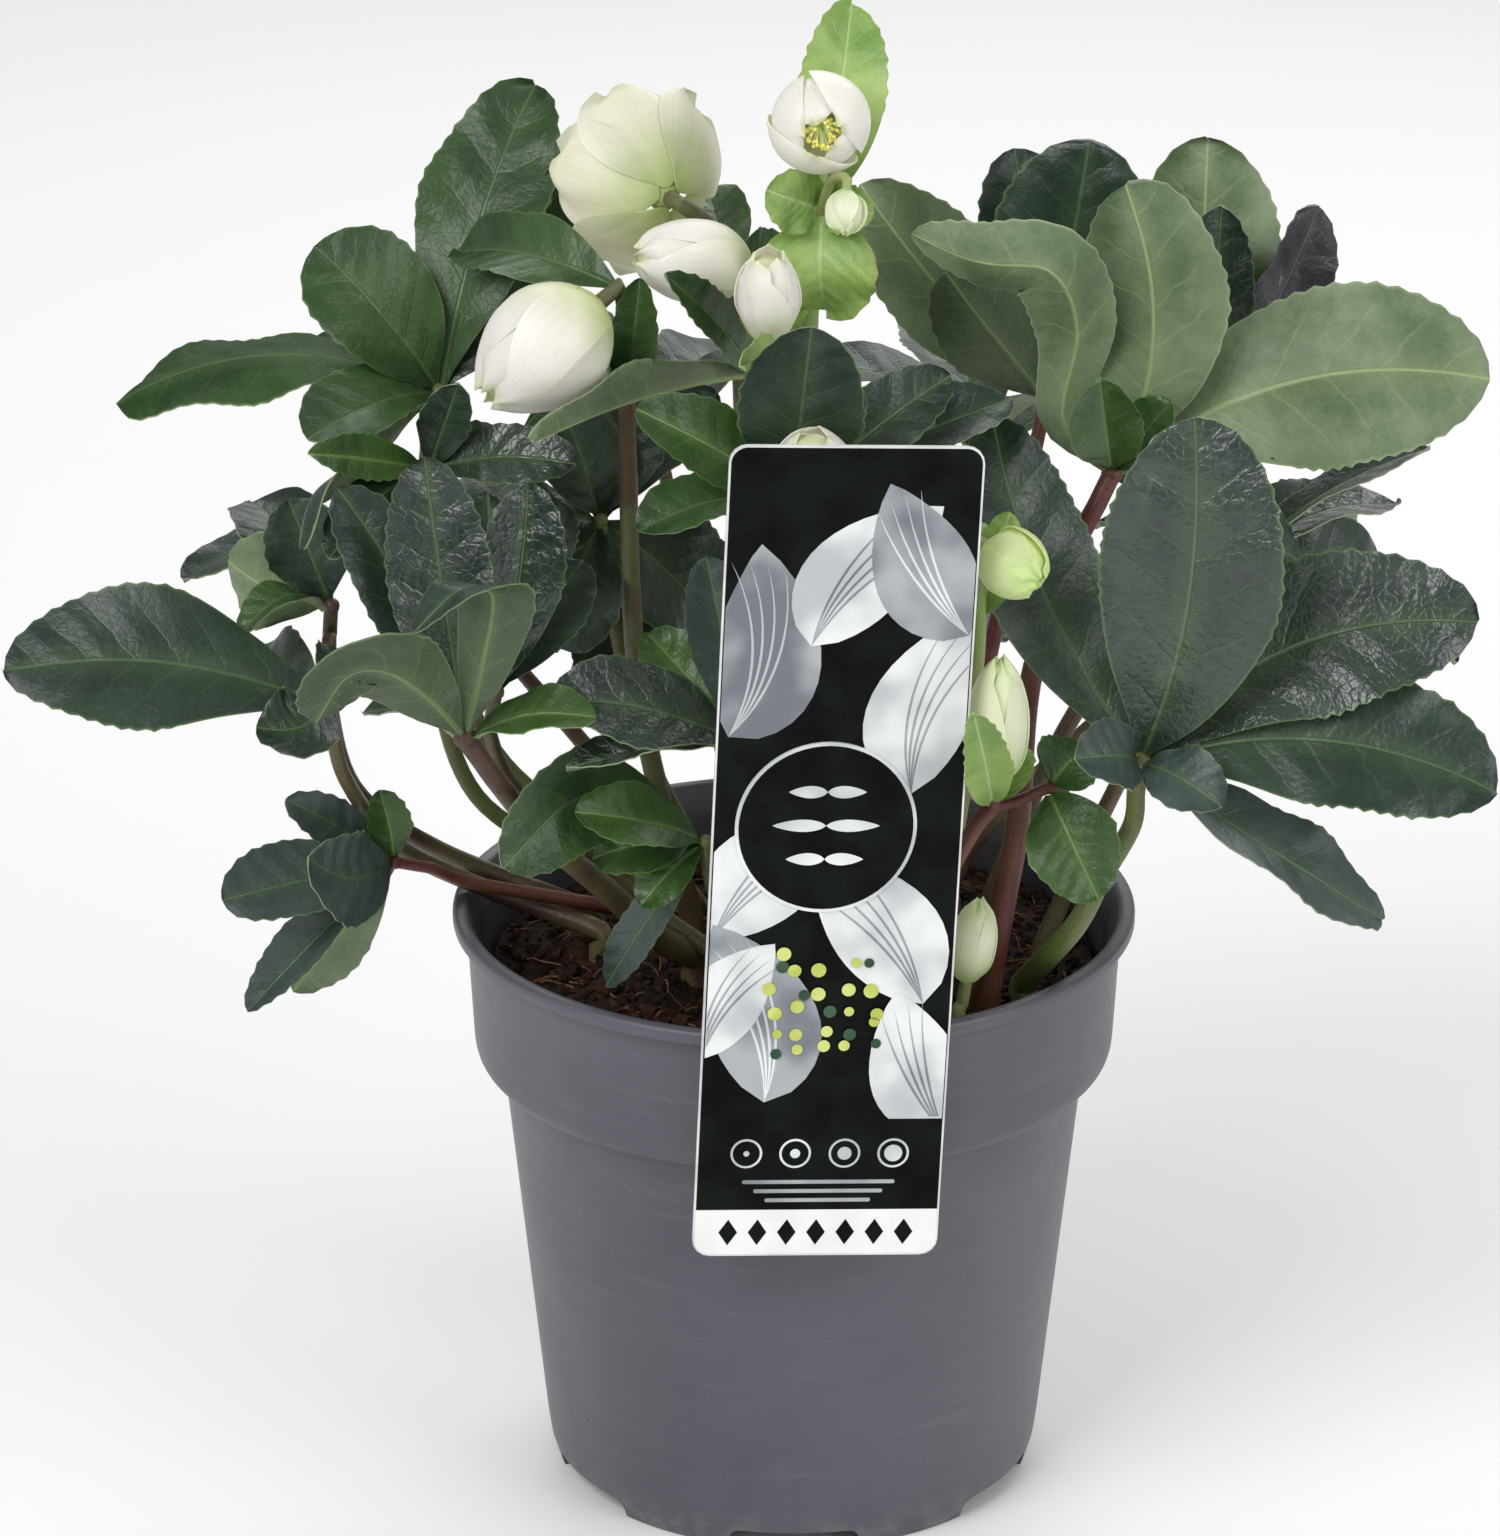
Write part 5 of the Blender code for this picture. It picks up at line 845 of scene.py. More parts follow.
def smooth_path(points, count):
    """Points spread evenly along a smooth curve through the given ones."""
    fine = []
    last = len(points) - 1
    for number in range(last):
        before = points[max(number - 1, 0)]
        start = points[number]
        end = points[number + 1]
        after = points[min(number + 2, last)]
        for step in range(12):
            share = step / 12.0
            bend = (2.0 * before - 5.0 * start + 4.0 * end - after) * share ** 2
            curl = (3.0 * start - before - 3.0 * end + after) * share ** 3
            fine.append(0.5 * (2.0 * start + (end - before) * share + bend + curl))
    fine.append(points[last].copy())
    lengths = [0.0]
    for first, second in zip(fine, fine[1:]):
        lengths.append(lengths[-1] + (second - first).length)
    path = []
    index = 0
    for number in range(count + 1):
        target = lengths[-1] * number / count
        while index < len(lengths) - 2 and lengths[index + 1] < target:
            index += 1
        share = (target - lengths[index]) / max(lengths[index + 1] - lengths[index], 1e-9)
        path.append(fine[index].lerp(fine[index + 1], min(share, 1.0)))
    return path


def blade_frames(base, piece, rows):
    """Stations along a blade: point, upper normal and direction across."""
    swing, scale = piece["fit"]
    tip = slide(base.lerp(piece["tip"], scale), swing)
    via = []
    for number, point in enumerate(piece["via"]):
        share = (number + 1) / (len(piece["via"]) + 1)
        via.append(slide(base.lerp(point, scale), swing * share))
    chord = ((via[0] if via else tip) - base).normalized()
    base = base + chord * BLADE_START
    if piece["roll"] is None:
        normal = Vector((0.0, 0.0, 1.0))
        turn = 0.0
    else:
        normal = (CAMERA - base).normalized()
        turn = math.radians(piece["roll"])
    normal = (normal - chord * normal.dot(chord)).normalized()
    normal.rotate(Quaternion(chord, turn))
    across = chord.cross(normal)
    path = smooth_path([base] + via + [tip], rows)
    if not via:
        for number, point in enumerate(path):
            arch = 4.0 * number / rows * (1.0 - number / rows)
            path[number] = point + (normal * piece["bow"] + across * piece["side"]) * arch
    frames = []
    for number, point in enumerate(path):
        ahead = path[min(number + 1, rows)] - path[max(number - 1, 0)]
        ahead.normalize()
        normal = (normal - ahead * normal.dot(ahead)).normalized()
        frames.append((point, normal, ahead.cross(normal)))
    return frames


def frame_at(frames, share):
    """Point, normal and direction across at a share of a blade's length."""
    place = share * (len(frames) - 1)
    index = min(int(place), len(frames) - 2)
    part = place - index
    low = frames[index]
    high = frames[index + 1]
    return (low[0].lerp(high[0], part), low[1].lerp(high[1], part).normalized(),
            low[2].lerp(high[2], part).normalized())


def half_width(piece, share):
    """Half the blade's width at a share of its length, without its teeth."""
    power = math.log(0.5) / math.log(piece["widest"])
    swell = math.sin(math.pi * min(max(share, 0.0), 1.0) ** power) if 0.0 < share < 1.0 else 0.0
    floor = 0.75 if share < 0.5 else 0.12
    fullness = 0.70 - 0.20 * min(max(share - 0.5, 0.0) / 0.3, 1.0)
    return max(0.5 * piece["width"] * piece["fit"][1] * swell ** fullness, floor)


class Build:
    """Points, faces, material slots and blade coordinates of one piece."""

    def __init__(self):
        self.points = []
        self.faces = []
        self.slots = []
        self.marks = []
        self.veins = []

    def add(self, points, faces, slots, marks=None, veins=None):
        shift = len(self.points)
        self.points += points
        self.faces += [tuple(corner + shift for corner in face) for face in faces]
        self.slots += slots if isinstance(slots, list) else [slots] * len(faces)
        self.marks += marks if marks else [(0.0, 0.0, 0.0)] * len(points)
        self.veins += veins if veins else [(0.0, 0.0, 0.0)] * len(points)

    def finish(self, name, nodes, slot, angle=55.0):
        """Make the object, which rides on the root and stands for the CAD nodes."""
        mesh = bpy.data.meshes.new(name)
        mesh.from_pydata([(point + AXIS) * MM for point in self.points], [], self.faces)
        used = sorted(set(self.slots))
        for title in used:
            mesh.materials.append(MATERIALS[title])
        mesh.polygons.foreach_set("material_index", [used.index(title) for title in self.slots])
        mesh.polygons.foreach_set("use_smooth", [True] * len(self.faces))
        for title, values in (("blade", self.marks), ("vein", self.veins)):
            layer = mesh.attributes.new(title, "FLOAT_VECTOR", "POINT")
            layer.data.foreach_set("vector", [part for value in values for part in value])
        mesh.update()
        mesh.set_sharp_from_angle(angle=math.radians(angle))
        item = bpy.data.objects.new(name, mesh)
        PIECES.objects.link(item)
        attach(item, "root")
        if nodes:
            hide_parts(*nodes)
        return item


def sheet(build, rows, top, thickness, slots, marks, veins):
    """Closed sheet: the given upper points, and lower ones under them along each normal."""
    columns = len(rows[0])
    count = len(rows)
    flat = [point for row in rows for point in row]
    lower = [point - normal * thick for point, normal, thick in zip(flat, top, thickness)]
    layer = count * columns
    faces = []
    kinds = []
    for row in range(count - 1):
        for column in range(columns - 1):
            near = row * columns + column
            far = near + columns
            faces.append((near, near + 1, far + 1, far))
            kinds.append(slots[0])
            faces.append((layer + far, layer + far + 1, layer + near + 1, layer + near))
            kinds.append(slots[1])
    rim = [row * columns for row in range(count)]
    rim += [(count - 1) * columns + column for column in range(1, columns)]
    rim += [row * columns + columns - 1 for row in range(count - 2, -1, -1)]
    rim += [column for column in range(columns - 2, 0, -1)]
    for here, there in zip(rim, rim[1:] + rim[:1]):
        faces.append((here, there, there + layer, here + layer))
        kinds.append(slots[2])
    build.add(flat + lower, faces, kinds, marks + marks, veins + veins)


def add_blade(build, base, piece, rng):
    """One leaflet with a fold, quilted between its side veins, waved and toothed at its edge."""
    top, under = TONES[piece["tone"]]
    frames = blade_frames(base, piece, 48)
    length = sum((frames[i + 1][0] - frames[i][0]).length for i in range(len(frames) - 1))
    width = piece["width"] * piece["fit"][1]
    fold = math.radians(piece["cup"])
    sink = 0.0
    if piece["width"] <= 18.5:
        sink = 0.4
    teeth = max(4, min(13, round(length * 0.55 / 3.0)))
    start = 0.42
    stations = [start * step / 8.0 for step in range(8)]
    jag = []
    for tooth in range(teeth):
        size = rng.uniform(0.6, 1.25)
        for part in range(4):
            stations.append(start + (0.97 - start) * (tooth + part / 4.0) / teeth)
        jag.append(size)
    stations += [0.975, 0.99, 1.0]
    seed = rng.random()
    wave_left = rng.uniform(0.0, 6.28)
    wave_right = rng.uniform(0.0, 6.28)
    wave = 0.05 * width
    if piece["tone"] == "purple":
        wave = 0.12 * width
    elif piece["tone"] == "under":
        wave = 0.065 * width
    pace = rng.uniform(9.0, 16.0)
    amount = 0.42 + 0.015 * width
    grid = []
    normals = []
    thickness = []
    marks = []
    veins = []
    ribs = 6.0 + seed
    for share in stations:
        point, normal, across = frame_at(frames, share)
        half = half_width(piece, share)
        jut = 0.0
        if start <= share < 0.97:
            place = (share - start) / (0.97 - start) * teeth
            tooth = min(int(place + 1e-6), teeth - 1)
            part = place - tooth
            fade = min(1.0, (share - start) * 9.0 + 0.25)
            jut = amount * jag[tooth] * fade * (part / 0.75 - 0.35)
        line = []
        for column in BLADE_COLUMNS:
            reach = half * abs(column) * (1.0 if column > 0.0 else -1.0)
            side_jut = jut if abs(column) == 1.0 else 0.0
            spread = across * (reach * math.cos(fold) + math.copysign(side_jut, column))
            rise = half * math.sin(fold) * (abs(column) ** 1.25 - sink)
            edge = abs(column) ** 2.4 * min(1.0, share * 3.0)
            turn = wave_right if column > 0.0 else wave_left
            rise += wave * edge * math.sin(share * pace + turn)
            rise += 0.02 * width * math.sin(share * 5.0 + wave_left + 2.0 * column) * min(1.0, share * 2.0)
            ribbed = share * ribs - abs(column) * half / length * ribs * 0.8
            puff = 0.5 - 0.5 * math.cos(2.0 * math.pi * ribbed)
            inner = 4.0 * abs(column) * (1.0 - abs(column))
            rise += 0.012 * width * (puff - 0.5) * inner
            rise -= 0.02 * width * math.exp(-(column / 0.12) ** 2) * (1.0 - share) * 0.6
            line.append(point + spread + normal * rise)
            normals.append(normal)
            ridge = 0.42 * (1.0 - 0.8 * share) if column == 0.0 else 0.0
            thickness.append(0.42 + ridge - 0.16 * abs(column) ** 4)
            marks.append((column, share, seed))
            veins.append((column * half, share * length, length / ribs))
        grid.append(line)
    sheet(build, grid, normals, thickness, (top, under, under), marks, veins)


def add_tube(build, points, radii, slot, sides=14, ribs=0.03, seed=0.0):
    """Closed tube with slight ribs along it."""
    rings = []
    marks = []
    faces = []
    along = (points[1] - points[0]).normalized()
    first = along.orthogonal().normalized()
    travelled = 0.0
    last = len(points) - 1
    for number, (point, radius) in enumerate(zip(points, radii)):
        along = (points[min(number + 1, last)] - points[max(number - 1, 0)]).normalized()
        first = (first - along * first.dot(along)).normalized()
        second = along.cross(first)
        if number:
            travelled += (point - points[number - 1]).length
        for side in range(sides):
            angle = 2.0 * math.pi * side / sides
            reach = radius * (1.0 + ribs * math.cos(5.0 * angle + seed))
            rings.append(point + (first * math.cos(angle) + second * math.sin(angle)) * reach)
            marks.append((side / sides, travelled, seed))
    for number in range(last):
        for side in range(sides):
            after = (side + 1) % sides
            near = number * sides
            far = near + sides
            faces.append((near + side, near + after, far + after, far + side))
    faces.append(tuple(reversed(range(sides))))
    faces.append(tuple(last * sides + side for side in range(sides)))
    build.add(rings, faces, slot, marks)


def add_knob(build, centre, radius, slot, stretch=None, detail=2):
    """Rounded knob, stretched along a direction if one is given."""
    shape = bmesh.new()
    bmesh.ops.create_icosphere(shape, subdivisions=detail, radius=radius)
    shape.verts.ensure_lookup_table()
    points = []
    for vertex in shape.verts:
        place = vertex.co.copy()
        if stretch:
            direction, factor = stretch
            place += direction * (place.dot(direction) * (factor - 1.0))
        points.append(centre + place)
    faces = [tuple(vertex.index for vertex in face.verts) for face in shape.faces]
    shape.free()
    build.add(points, faces, slot)


# Flowers

def bloom_frame(flower):
    """Base, axis, two directions across and length of a flower."""
    axis = flower["tip"] - flower["base"]
    along = axis.normalized()
    first = along.orthogonal().normalized()
    return flower["base"], along, first, along.cross(first), axis.length


def profile_at(profile, share):
    """Height and radius at a share of the way along a flower's profile."""
    place = share * (len(profile) - 1)
    index = min(int(place), len(profile) - 2)
    low = profile[index]
    high = profile[index + 1]
    part = place - index
    return low[0] + (high[0] - low[0]) * part, low[1] + (high[1] - low[1]) * part


def smooth_profile(profile, share):
    """The profile as a soft curve: the mean of its neighbourhood."""
    spread = 0.07
    shares = [min(max(share + spread * step, 0.0), 1.0) for step in (-1.0, -0.5, 0.0, 0.5, 1.0)]
    picks = [profile_at(profile, near) for near in shares]
    return sum(pick[0] for pick in picks) / 5.0, sum(pick[1] for pick in picks) / 5.0


def receptacle_radius(flower):
    return profile_at(flower["profile"], 0.04)[1] * flower["radius"] + 0.9


def add_petal(build, flower, number, slot, rng):
    """One petal wrapped round the flower's axis, with a soft, slightly waved edge."""
    base, along, first, second, length = bloom_frame(flower)
    is_open = flower["profile"] is OPEN
    closed = not flower["stamens"]
    middle = math.radians(flower["spin"] + 147.0 * number)
    layer = PETAL_LAYERS[number] * (0.6 if closed else 1.0)
    wide = math.radians(50.0 if is_open else (78.0 if closed else 70.0))
    rows = 20
    columns = 14
    wave = rng.uniform(0.0, 6.28)
    seed = rng.random()
    grid = []
    normals = []
    marks = []
    for row in range(rows + 1):
        share = row / rows
        height, radius = smooth_profile(flower["profile"], 0.03 + 0.97 * share)
        swell = math.sin(math.pi * share ** 0.85) ** 0.6 if 0.0 < share < 1.0 else 0.0
        span = wide * (0.3 + 0.7 * swell)
        if closed:
            span = wide * (0.55 + 0.45 * math.sin(math.pi * min(share * 1.2, 1.0)) ** 0.7)
        line = []
        for column in range(columns + 1):
            place = 2.0 * column / columns - 1.0
            angle = middle + span * place
            out = first * math.cos(angle) + second * math.sin(angle)
            drop = (0.10 if is_open else 0.05) * place * place * share ** 4 * length
            notch = -0.03 * length * math.exp(-(place / 0.22) ** 2) * share ** 6
            ruffle = math.sin(place * 5.0 + wave + share * 3.0) * (0.10 if is_open else 0.04)
            ruffle = ruffle * flower["radius"] * share ** 2 * abs(place)
            lap = 0.3 * place if closed else 0.0
            edge = 0.22 * abs(place) ** 5 * min(1.0, share * 3.0)
            reach = max(radius * flower["radius"] + layer * min(share * 4.0, 1.0), 0.8 + 0.4 * layer)
            reach += (ruffle if not closed else 0.3 * ruffle) + lap + edge
            reach = max(reach, 0.3 + 0.12 * (2.0 + layer))
            line.append(base + along * (height * length - drop - notch) + out * reach)
            normals.append(out)
            marks.append((place, share, seed))
        grid.append(line)
    thickness = [0.34 - 0.14 * abs(mark[0]) ** 4 for mark in marks]
    flat = [(0.0, 0.0, 0.0)] * len(marks)
    sheet(build, grid, normals, thickness, (slot, slot, slot), marks, flat)


def add_stamens(build, flower, rng):
    """Threads with anthers round a few green carpels."""
    base, along, first, second, length = bloom_frame(flower)
    middle = base + along * (1.9 * receptacle_radius(flower) - 0.4 + 1.2)
    for number in range(5):
        angle = 2.0 * math.pi * number / 5.0
        out = first * math.cos(angle) + second * math.sin(angle)
        foot = middle + out * 0.5
        add_tube(build, [foot, foot + along * 2.2 + out * 0.2, foot + along * 3.6 + out * 0.7],
                 [0.42, 0.3, 0.12], "carpel", sides=6)
    add_knob(build, middle, 1.15, "carpel")
    tall = 0.36 if flower["profile"] is OPEN else 0.56
    for number in range(44):
        angle = number * 2.399963
        out = first * math.cos(angle) + second * math.sin(angle)
        splay = 0.35 + 0.65 * math.sqrt((number + 0.5) / 44.0)
        reach = 3.0 * splay * rng.uniform(0.85, 1.1)
        rise = tall * length * rng.uniform(0.75, 1.1) * (1.25 - 0.45 * splay)
        foot = middle + out * (0.9 * splay)
        knee = foot + along * (rise * 0.55) + out * (reach * 0.3)
        end = middle + along * rise + out * reach
        add_tube(build, [foot, knee, end], [0.13, 0.11, 0.10], "filament", sides=5, ribs=0.0)
        add_knob(build, end, 0.34, "anther", stretch=((end - knee).normalized(), 1.7), detail=1)


# Stalks

def stalk_neck(flower):
    """The last two points of a stalk, in line with its flower's axis and just short of it."""
    base, along, _, _, length = bloom_frame(flower)
    neck = min(4.0, 0.25 * length)
    return [base - along * (PLAY + neck), base - along * (PLAY + 0.6)]


def stalk_points(root, path, ends, count):
    """Route of a stalk: straight down into the soil, then a smooth curve to its end."""
    foot = Vector((root[0], root[1], SOIL_TOP - ROOT_DEPTH + 1.0))
    collar = Vector((root[0], root[1], SOIL_TOP + 2.0))
    above = Vector((root[0], root[1], SOIL_TOP + 5.0))
    return [foot] + smooth_path([collar, above] + list(path) + ends[:-1], count) + ends[-1:]


def bent_path(item):
    """A stalk's way points, slid along the line of sight as in the solid model."""
    first, second = item.get("swing", (0, 0))
    path = []
    for number, point in enumerate(item["path"]):
        share = number / max(len(item["path"]) - 1, 1)
        path.append(slide(point, first * (1.0 - share) + second * share))
    return path


def stalk_radii(radius, count, flare=0.25):
    """Thickest in the soil, tapering upwards, with a slight swelling at the foot."""
    radii = []
    for number in range(count):
        share = number / (count - 1)
        radii.append(radius * (1.12 - 0.34 * share + flare * math.exp(-share * 14.0)))
    return radii


def add_flower_stalk(stalk, rng):
    """Stalk, side branches and bracts, in one piece."""
    build = Build()
    flower = FLOWERS[stalk["carries"]]
    tone = STEM_TONES.get(stalk["name"], "light")
    neck = stalk_neck(flower)
    neck[1] = flower["base"] + (flower["tip"] - flower["base"]).normalized() * 0.4
    coarse = stalk_points(stalk["root"], bent_path(stalk), stalk_neck(flower), 6)
    points = stalk_points(stalk["root"], bent_path(stalk), neck, 40)
    add_tube(build, points, stalk_radii(stalk["radius"], len(points)), tone, seed=rng.random())
    places = list(coarse)
    for name, path, radius in stalk["branches"]:
        start = min(coarse, key=lambda point: (point - path[0]).length)
        side = FLOWERS[name]
        end = stalk_neck(side)
        end[1] = side["base"] + (side["tip"] - side["base"]).normalized() * 0.4
        route = smooth_path([start] + path[1:] + end, 16)
        add_tube(build, route, [radius * 1.05] * len(route), tone, sides=10, seed=rng.random())
        places += smooth_path([start] + path[1:] + stalk_neck(side), 5)
    for piece in stalk["bracts"]:
        if not piece["fit"]:
            continue
        start = min(places, key=lambda point: (point - piece["base"]).length)
        add_blade(build, start, piece, rng)
    return build.finish(stalk["name"] + "_green", [stalk["name"]], "flower_stalk")


def add_frond(frond, rng):
    """Leaflets of a frond at their hub, and its stalk."""
    hub = frond["hub"]
    tone = STEM_TONES.get(frond["name"], "brown")
    before = (frond["path"][0] - hub).normalized()
    item = dict(frond)
    item["path"] = frond["path"][::-1]
    ends = [hub + before * (HUB_RADIUS + 4.0), hub + before * 0.6]
    points = stalk_points(frond["root"], bent_path(item), ends, 40)
    radii = stalk_radii(frond["radius"], len(points))
    seed = rng.random()
    leaves = Build()
    if frond["stalk"]:
        stalk = Build()
        add_tube(stalk, points, radii, tone, seed=seed)
        stalk.finish(frond["name"] + "_stem", [frond["name"] + "_stalk"], "leaf_stalk")
    else:
        add_tube(leaves, points, radii, tone, seed=seed)
    add_knob(leaves, hub, 0.82 * frond["radius"] + 0.25, tone)
    for piece in frond["leaves"]:
        if piece["fit"]:
            add_blade(leaves, hub, piece, rng)
    return leaves.finish(frond["name"] + "_leaves", [frond["name"]], "leaf")


def add_bloom(flower, rng):
    """Petals of a flower or bud on its receptacle, and the stamens of an open one."""
    build = Build()
    base, along, _, _, length = bloom_frame(flower)
    tone = PETAL_TONES.get(flower["name"], "petal_white")
    if flower["stamens"]:
        radius = receptacle_radius(flower)
        add_knob(build, base + along * (0.9 * radius), radius, "light")
        stamens = Build()
        add_stamens(stamens, flower, rng)
        stamens.finish(flower["name"] + "_threads", [flower["name"] + "_stamens"], "stamens")
    else:
        points = []
        radii = []
        for step in range(9):
            height, radius = smooth_profile(flower["profile"], 0.02 + 0.9 * step / 8.0)
            points.append(base + along * (height * length))
            radii.append(max(0.84 * radius * flower["radius"] - 0.5, 0.4))
        add_tube(build, points, radii, tone, sides=20)
    for number in range(5):
        add_petal(build, flower, number, tone, rng)
    return build.finish(flower["name"] + "_petals", [flower["name"]], "petal", angle=70.0)


# Pot and soil

def ring_points(radius, height, steps):
    return [Vector((math.cos(2.0 * math.pi * step / steps) * radius,
                    math.sin(2.0 * math.pi * step / steps) * radius, height)) for step in range(steps)]


def add_lathe(build, profile, steps, slot):
    """Closed turned form; the profile runs from the axis, round and back to it."""
    points = [Vector((0.0, 0.0, profile[0][1]))]
    for radius, height in profile[1:-1]:
        points += ring_points(radius, height, steps)
    points.append(Vector((0.0, 0.0, profile[-1][1])))
    last = len(points) - 1
    faces = []
    for step in range(steps):
        after = (step + 1) % steps
        faces.append((0, 1 + step, 1 + after))
        for ring in range(len(profile) - 3):
            near = 1 + ring * steps
            far = near + steps
            faces.append((near + step, far + step, far + after, near + after))
        end = 1 + (len(profile) - 3) * steps
        faces.append((end + step, last, end + after))
    build.add(points, faces, slot)


def rounded_profile(corners):
    """The profile with each corner cut into a small round of three points."""
    points = [corners[0]]
    for before, corner, after in zip(corners, corners[1:], corners[2:]):
        radius = corner[2] if len(corner) > 2 else 0.25
        here = Vector(corner[:2])
        back = Vector(before[:2]) - here
        front = Vector(after[:2]) - here
        reach_back = min(radius, 0.45 * back.length)
        reach_front = min(radius, 0.45 * front.length)
        first = here + back.normalized() * reach_back
        last = here + front.normalized() * reach_front
        middle = (first + last) * 0.25 + here * 0.5
        points += [tuple(first), tuple(middle), tuple(last)]
    points.append(corners[-1])
    return points


def cut_away(item, cutters):
    """Cut the cutters out of the item, one after the other."""
    for cutter in cutters:
        boolean = item.modifiers.new("cut", "BOOLEAN")
        boolean.operation = "DIFFERENCE"
        boolean.solver = "EXACT"
        boolean.object = cutter
    graph = bpy.context.evaluated_depsgraph_get()
    mesh = bpy.data.meshes.new_from_object(item.evaluated_get(graph))
    item.modifiers.clear()
    item.data = mesh
    for cutter in cutters:
        bpy.data.objects.remove(cutter, do_unlink=True)


def cutter_from(shape, turn):
    """Object for cutting from a shape in millimetres round the pot's axis."""
    bmesh.ops.rotate(shape, cent=(0.0, 0.0, 0.0), matrix=turn.to_matrix(), verts=shape.verts)
    for vertex in shape.verts:
        vertex.co = (vertex.co + AXIS) * MM
    bmesh.ops.recalc_face_normals(shape, faces=shape.faces)
    mesh = bpy.data.meshes.new("cutter")
    shape.to_mesh(mesh)
    shape.free()
    made = bpy.data.objects.new("cutter", mesh)
    PIECES.objects.link(made)
    return made


def add_pot():
    """Turned pot with lip, collar, floor, feet between arches, and drain holes."""
    inner_top = LIP_RADIUS - 4.7
    profile = rounded_profile([
        (0.0, FOOT_HEIGHT + WALL),
        (WALL_FOOT_RADIUS - 4.5, FOOT_HEIGHT + WALL, 2.0),
        (WALL_FOOT_RADIUS - 1.6, FOOT_HEIGHT + 3.6, 2.0),
        (WALL_TOP_RADIUS - WALL, COLLAR_FOOT - 2.0, 1.0),
        (COLLAR_FOOT_RADIUS - WALL, COLLAR_FOOT + 2.4, 1.0),
        (inner_top, POT_HEIGHT - 5.0, 1.0),
        (LIP_RADIUS - 2.6, POT_HEIGHT, 0.9),
        (LIP_RADIUS - 0.5, POT_HEIGHT, 0.3),
        (LIP_RADIUS, POT_HEIGHT - 0.6, 0.3),
        (LIP_RADIUS, POT_HEIGHT - LIP_DEPTH, 0.3),
        (COLLAR_RADIUS + 1.0, POT_HEIGHT - LIP_DEPTH - 0.8, 0.6),
        (COLLAR_RADIUS - 0.2, COLLAR_FOOT + 3.2, 1.6),
        (COLLAR_RADIUS - 0.8, COLLAR_FOOT + 1.6, 0.6),
        (COLLAR_FOOT_RADIUS, COLLAR_FOOT, 0.3),
        (WALL_TOP_RADIUS, COLLAR_FOOT - 1.2, 0.4),
        (WALL_FOOT_RADIUS, FOOT_HEIGHT + 4.0, 2.0),
        (WALL_FOOT_RADIUS - 0.5, FOOT_HEIGHT + 0.6, 0.3),
        (FOOT_RADIUS, 0.0, 0.4),
        (FOOT_RADIUS - FOOT_RING, 0.0, 0.4),
        (FOOT_RADIUS - FOOT_RING, FOOT_HEIGHT, 0.4),
        (0.0, FOOT_HEIGHT),
    ])
    build = Build()
    add_lathe(build, profile, POT_STEPS, "pot")
    pot = build.finish("pot_shell", ["pot"], "pot", angle=40.0)
    cutters = []
    for number in range(ARCH_COUNT):
        shape = bmesh.new()
        length = 2.0 * FOOT_RADIUS + 8.0
        height = FOOT_HEIGHT - 0.4
        bmesh.ops.create_cube(shape, size=1.0)
        bmesh.ops.scale(shape, vec=(ARCH_WIDTH, length, 2.0 * height), verts=shape.verts)
        tops = [edge for edge in shape.edges
                if all(vertex.co.z > 0.0 for vertex in edge.verts)
                and abs(edge.verts[0].co.x - edge.verts[1].co.x) < 0.1]
        bmesh.ops.bevel(shape, geom=tops, offset=2.2, segments=6, profile=0.5, affect="EDGES")
        cutters.append(cutter_from(shape, Quaternion((0.0, 0.0, 1.0), math.pi * number / ARCH_COUNT)))
    for number in range(DRAIN_COUNT):
        angle = 2.0 * math.pi * (number + 0.57) / DRAIN_COUNT
        shape = bmesh.new()
        bmesh.ops.create_cone(shape, cap_ends=True, segments=32, radius1=DRAIN_RADIUS,
                              radius2=DRAIN_RADIUS, depth=8.0)
        middle = (math.cos(angle) * DRAIN_CIRCLE, math.sin(angle) * DRAIN_CIRCLE, FOOT_HEIGHT + 0.5)
        bmesh.ops.translate(shape, verts=shape.verts, vec=middle)
        cutters.append(cutter_from(shape, Quaternion()))
    cut_away(pot, cutters)
    pot.data.polygons.foreach_set("use_smooth", [True] * len(pot.data.polygons))
    pot.data.set_sharp_from_angle(angle=math.radians(40.0))


def soil_height(x, y):
    """Height of the rough surface of the soil."""
    rough = noise.fractal(Vector((x, y, 3.0)) * 0.16, 0.6, 2.1, 4)
    broad = noise.noise(Vector((x, y, 9.0)) * 0.05)
    rim = math.hypot(x, y) / 52.0
    return SOIL_TOP + 0.9 * rough + 1.0 * broad - 1.0 * rim ** 3


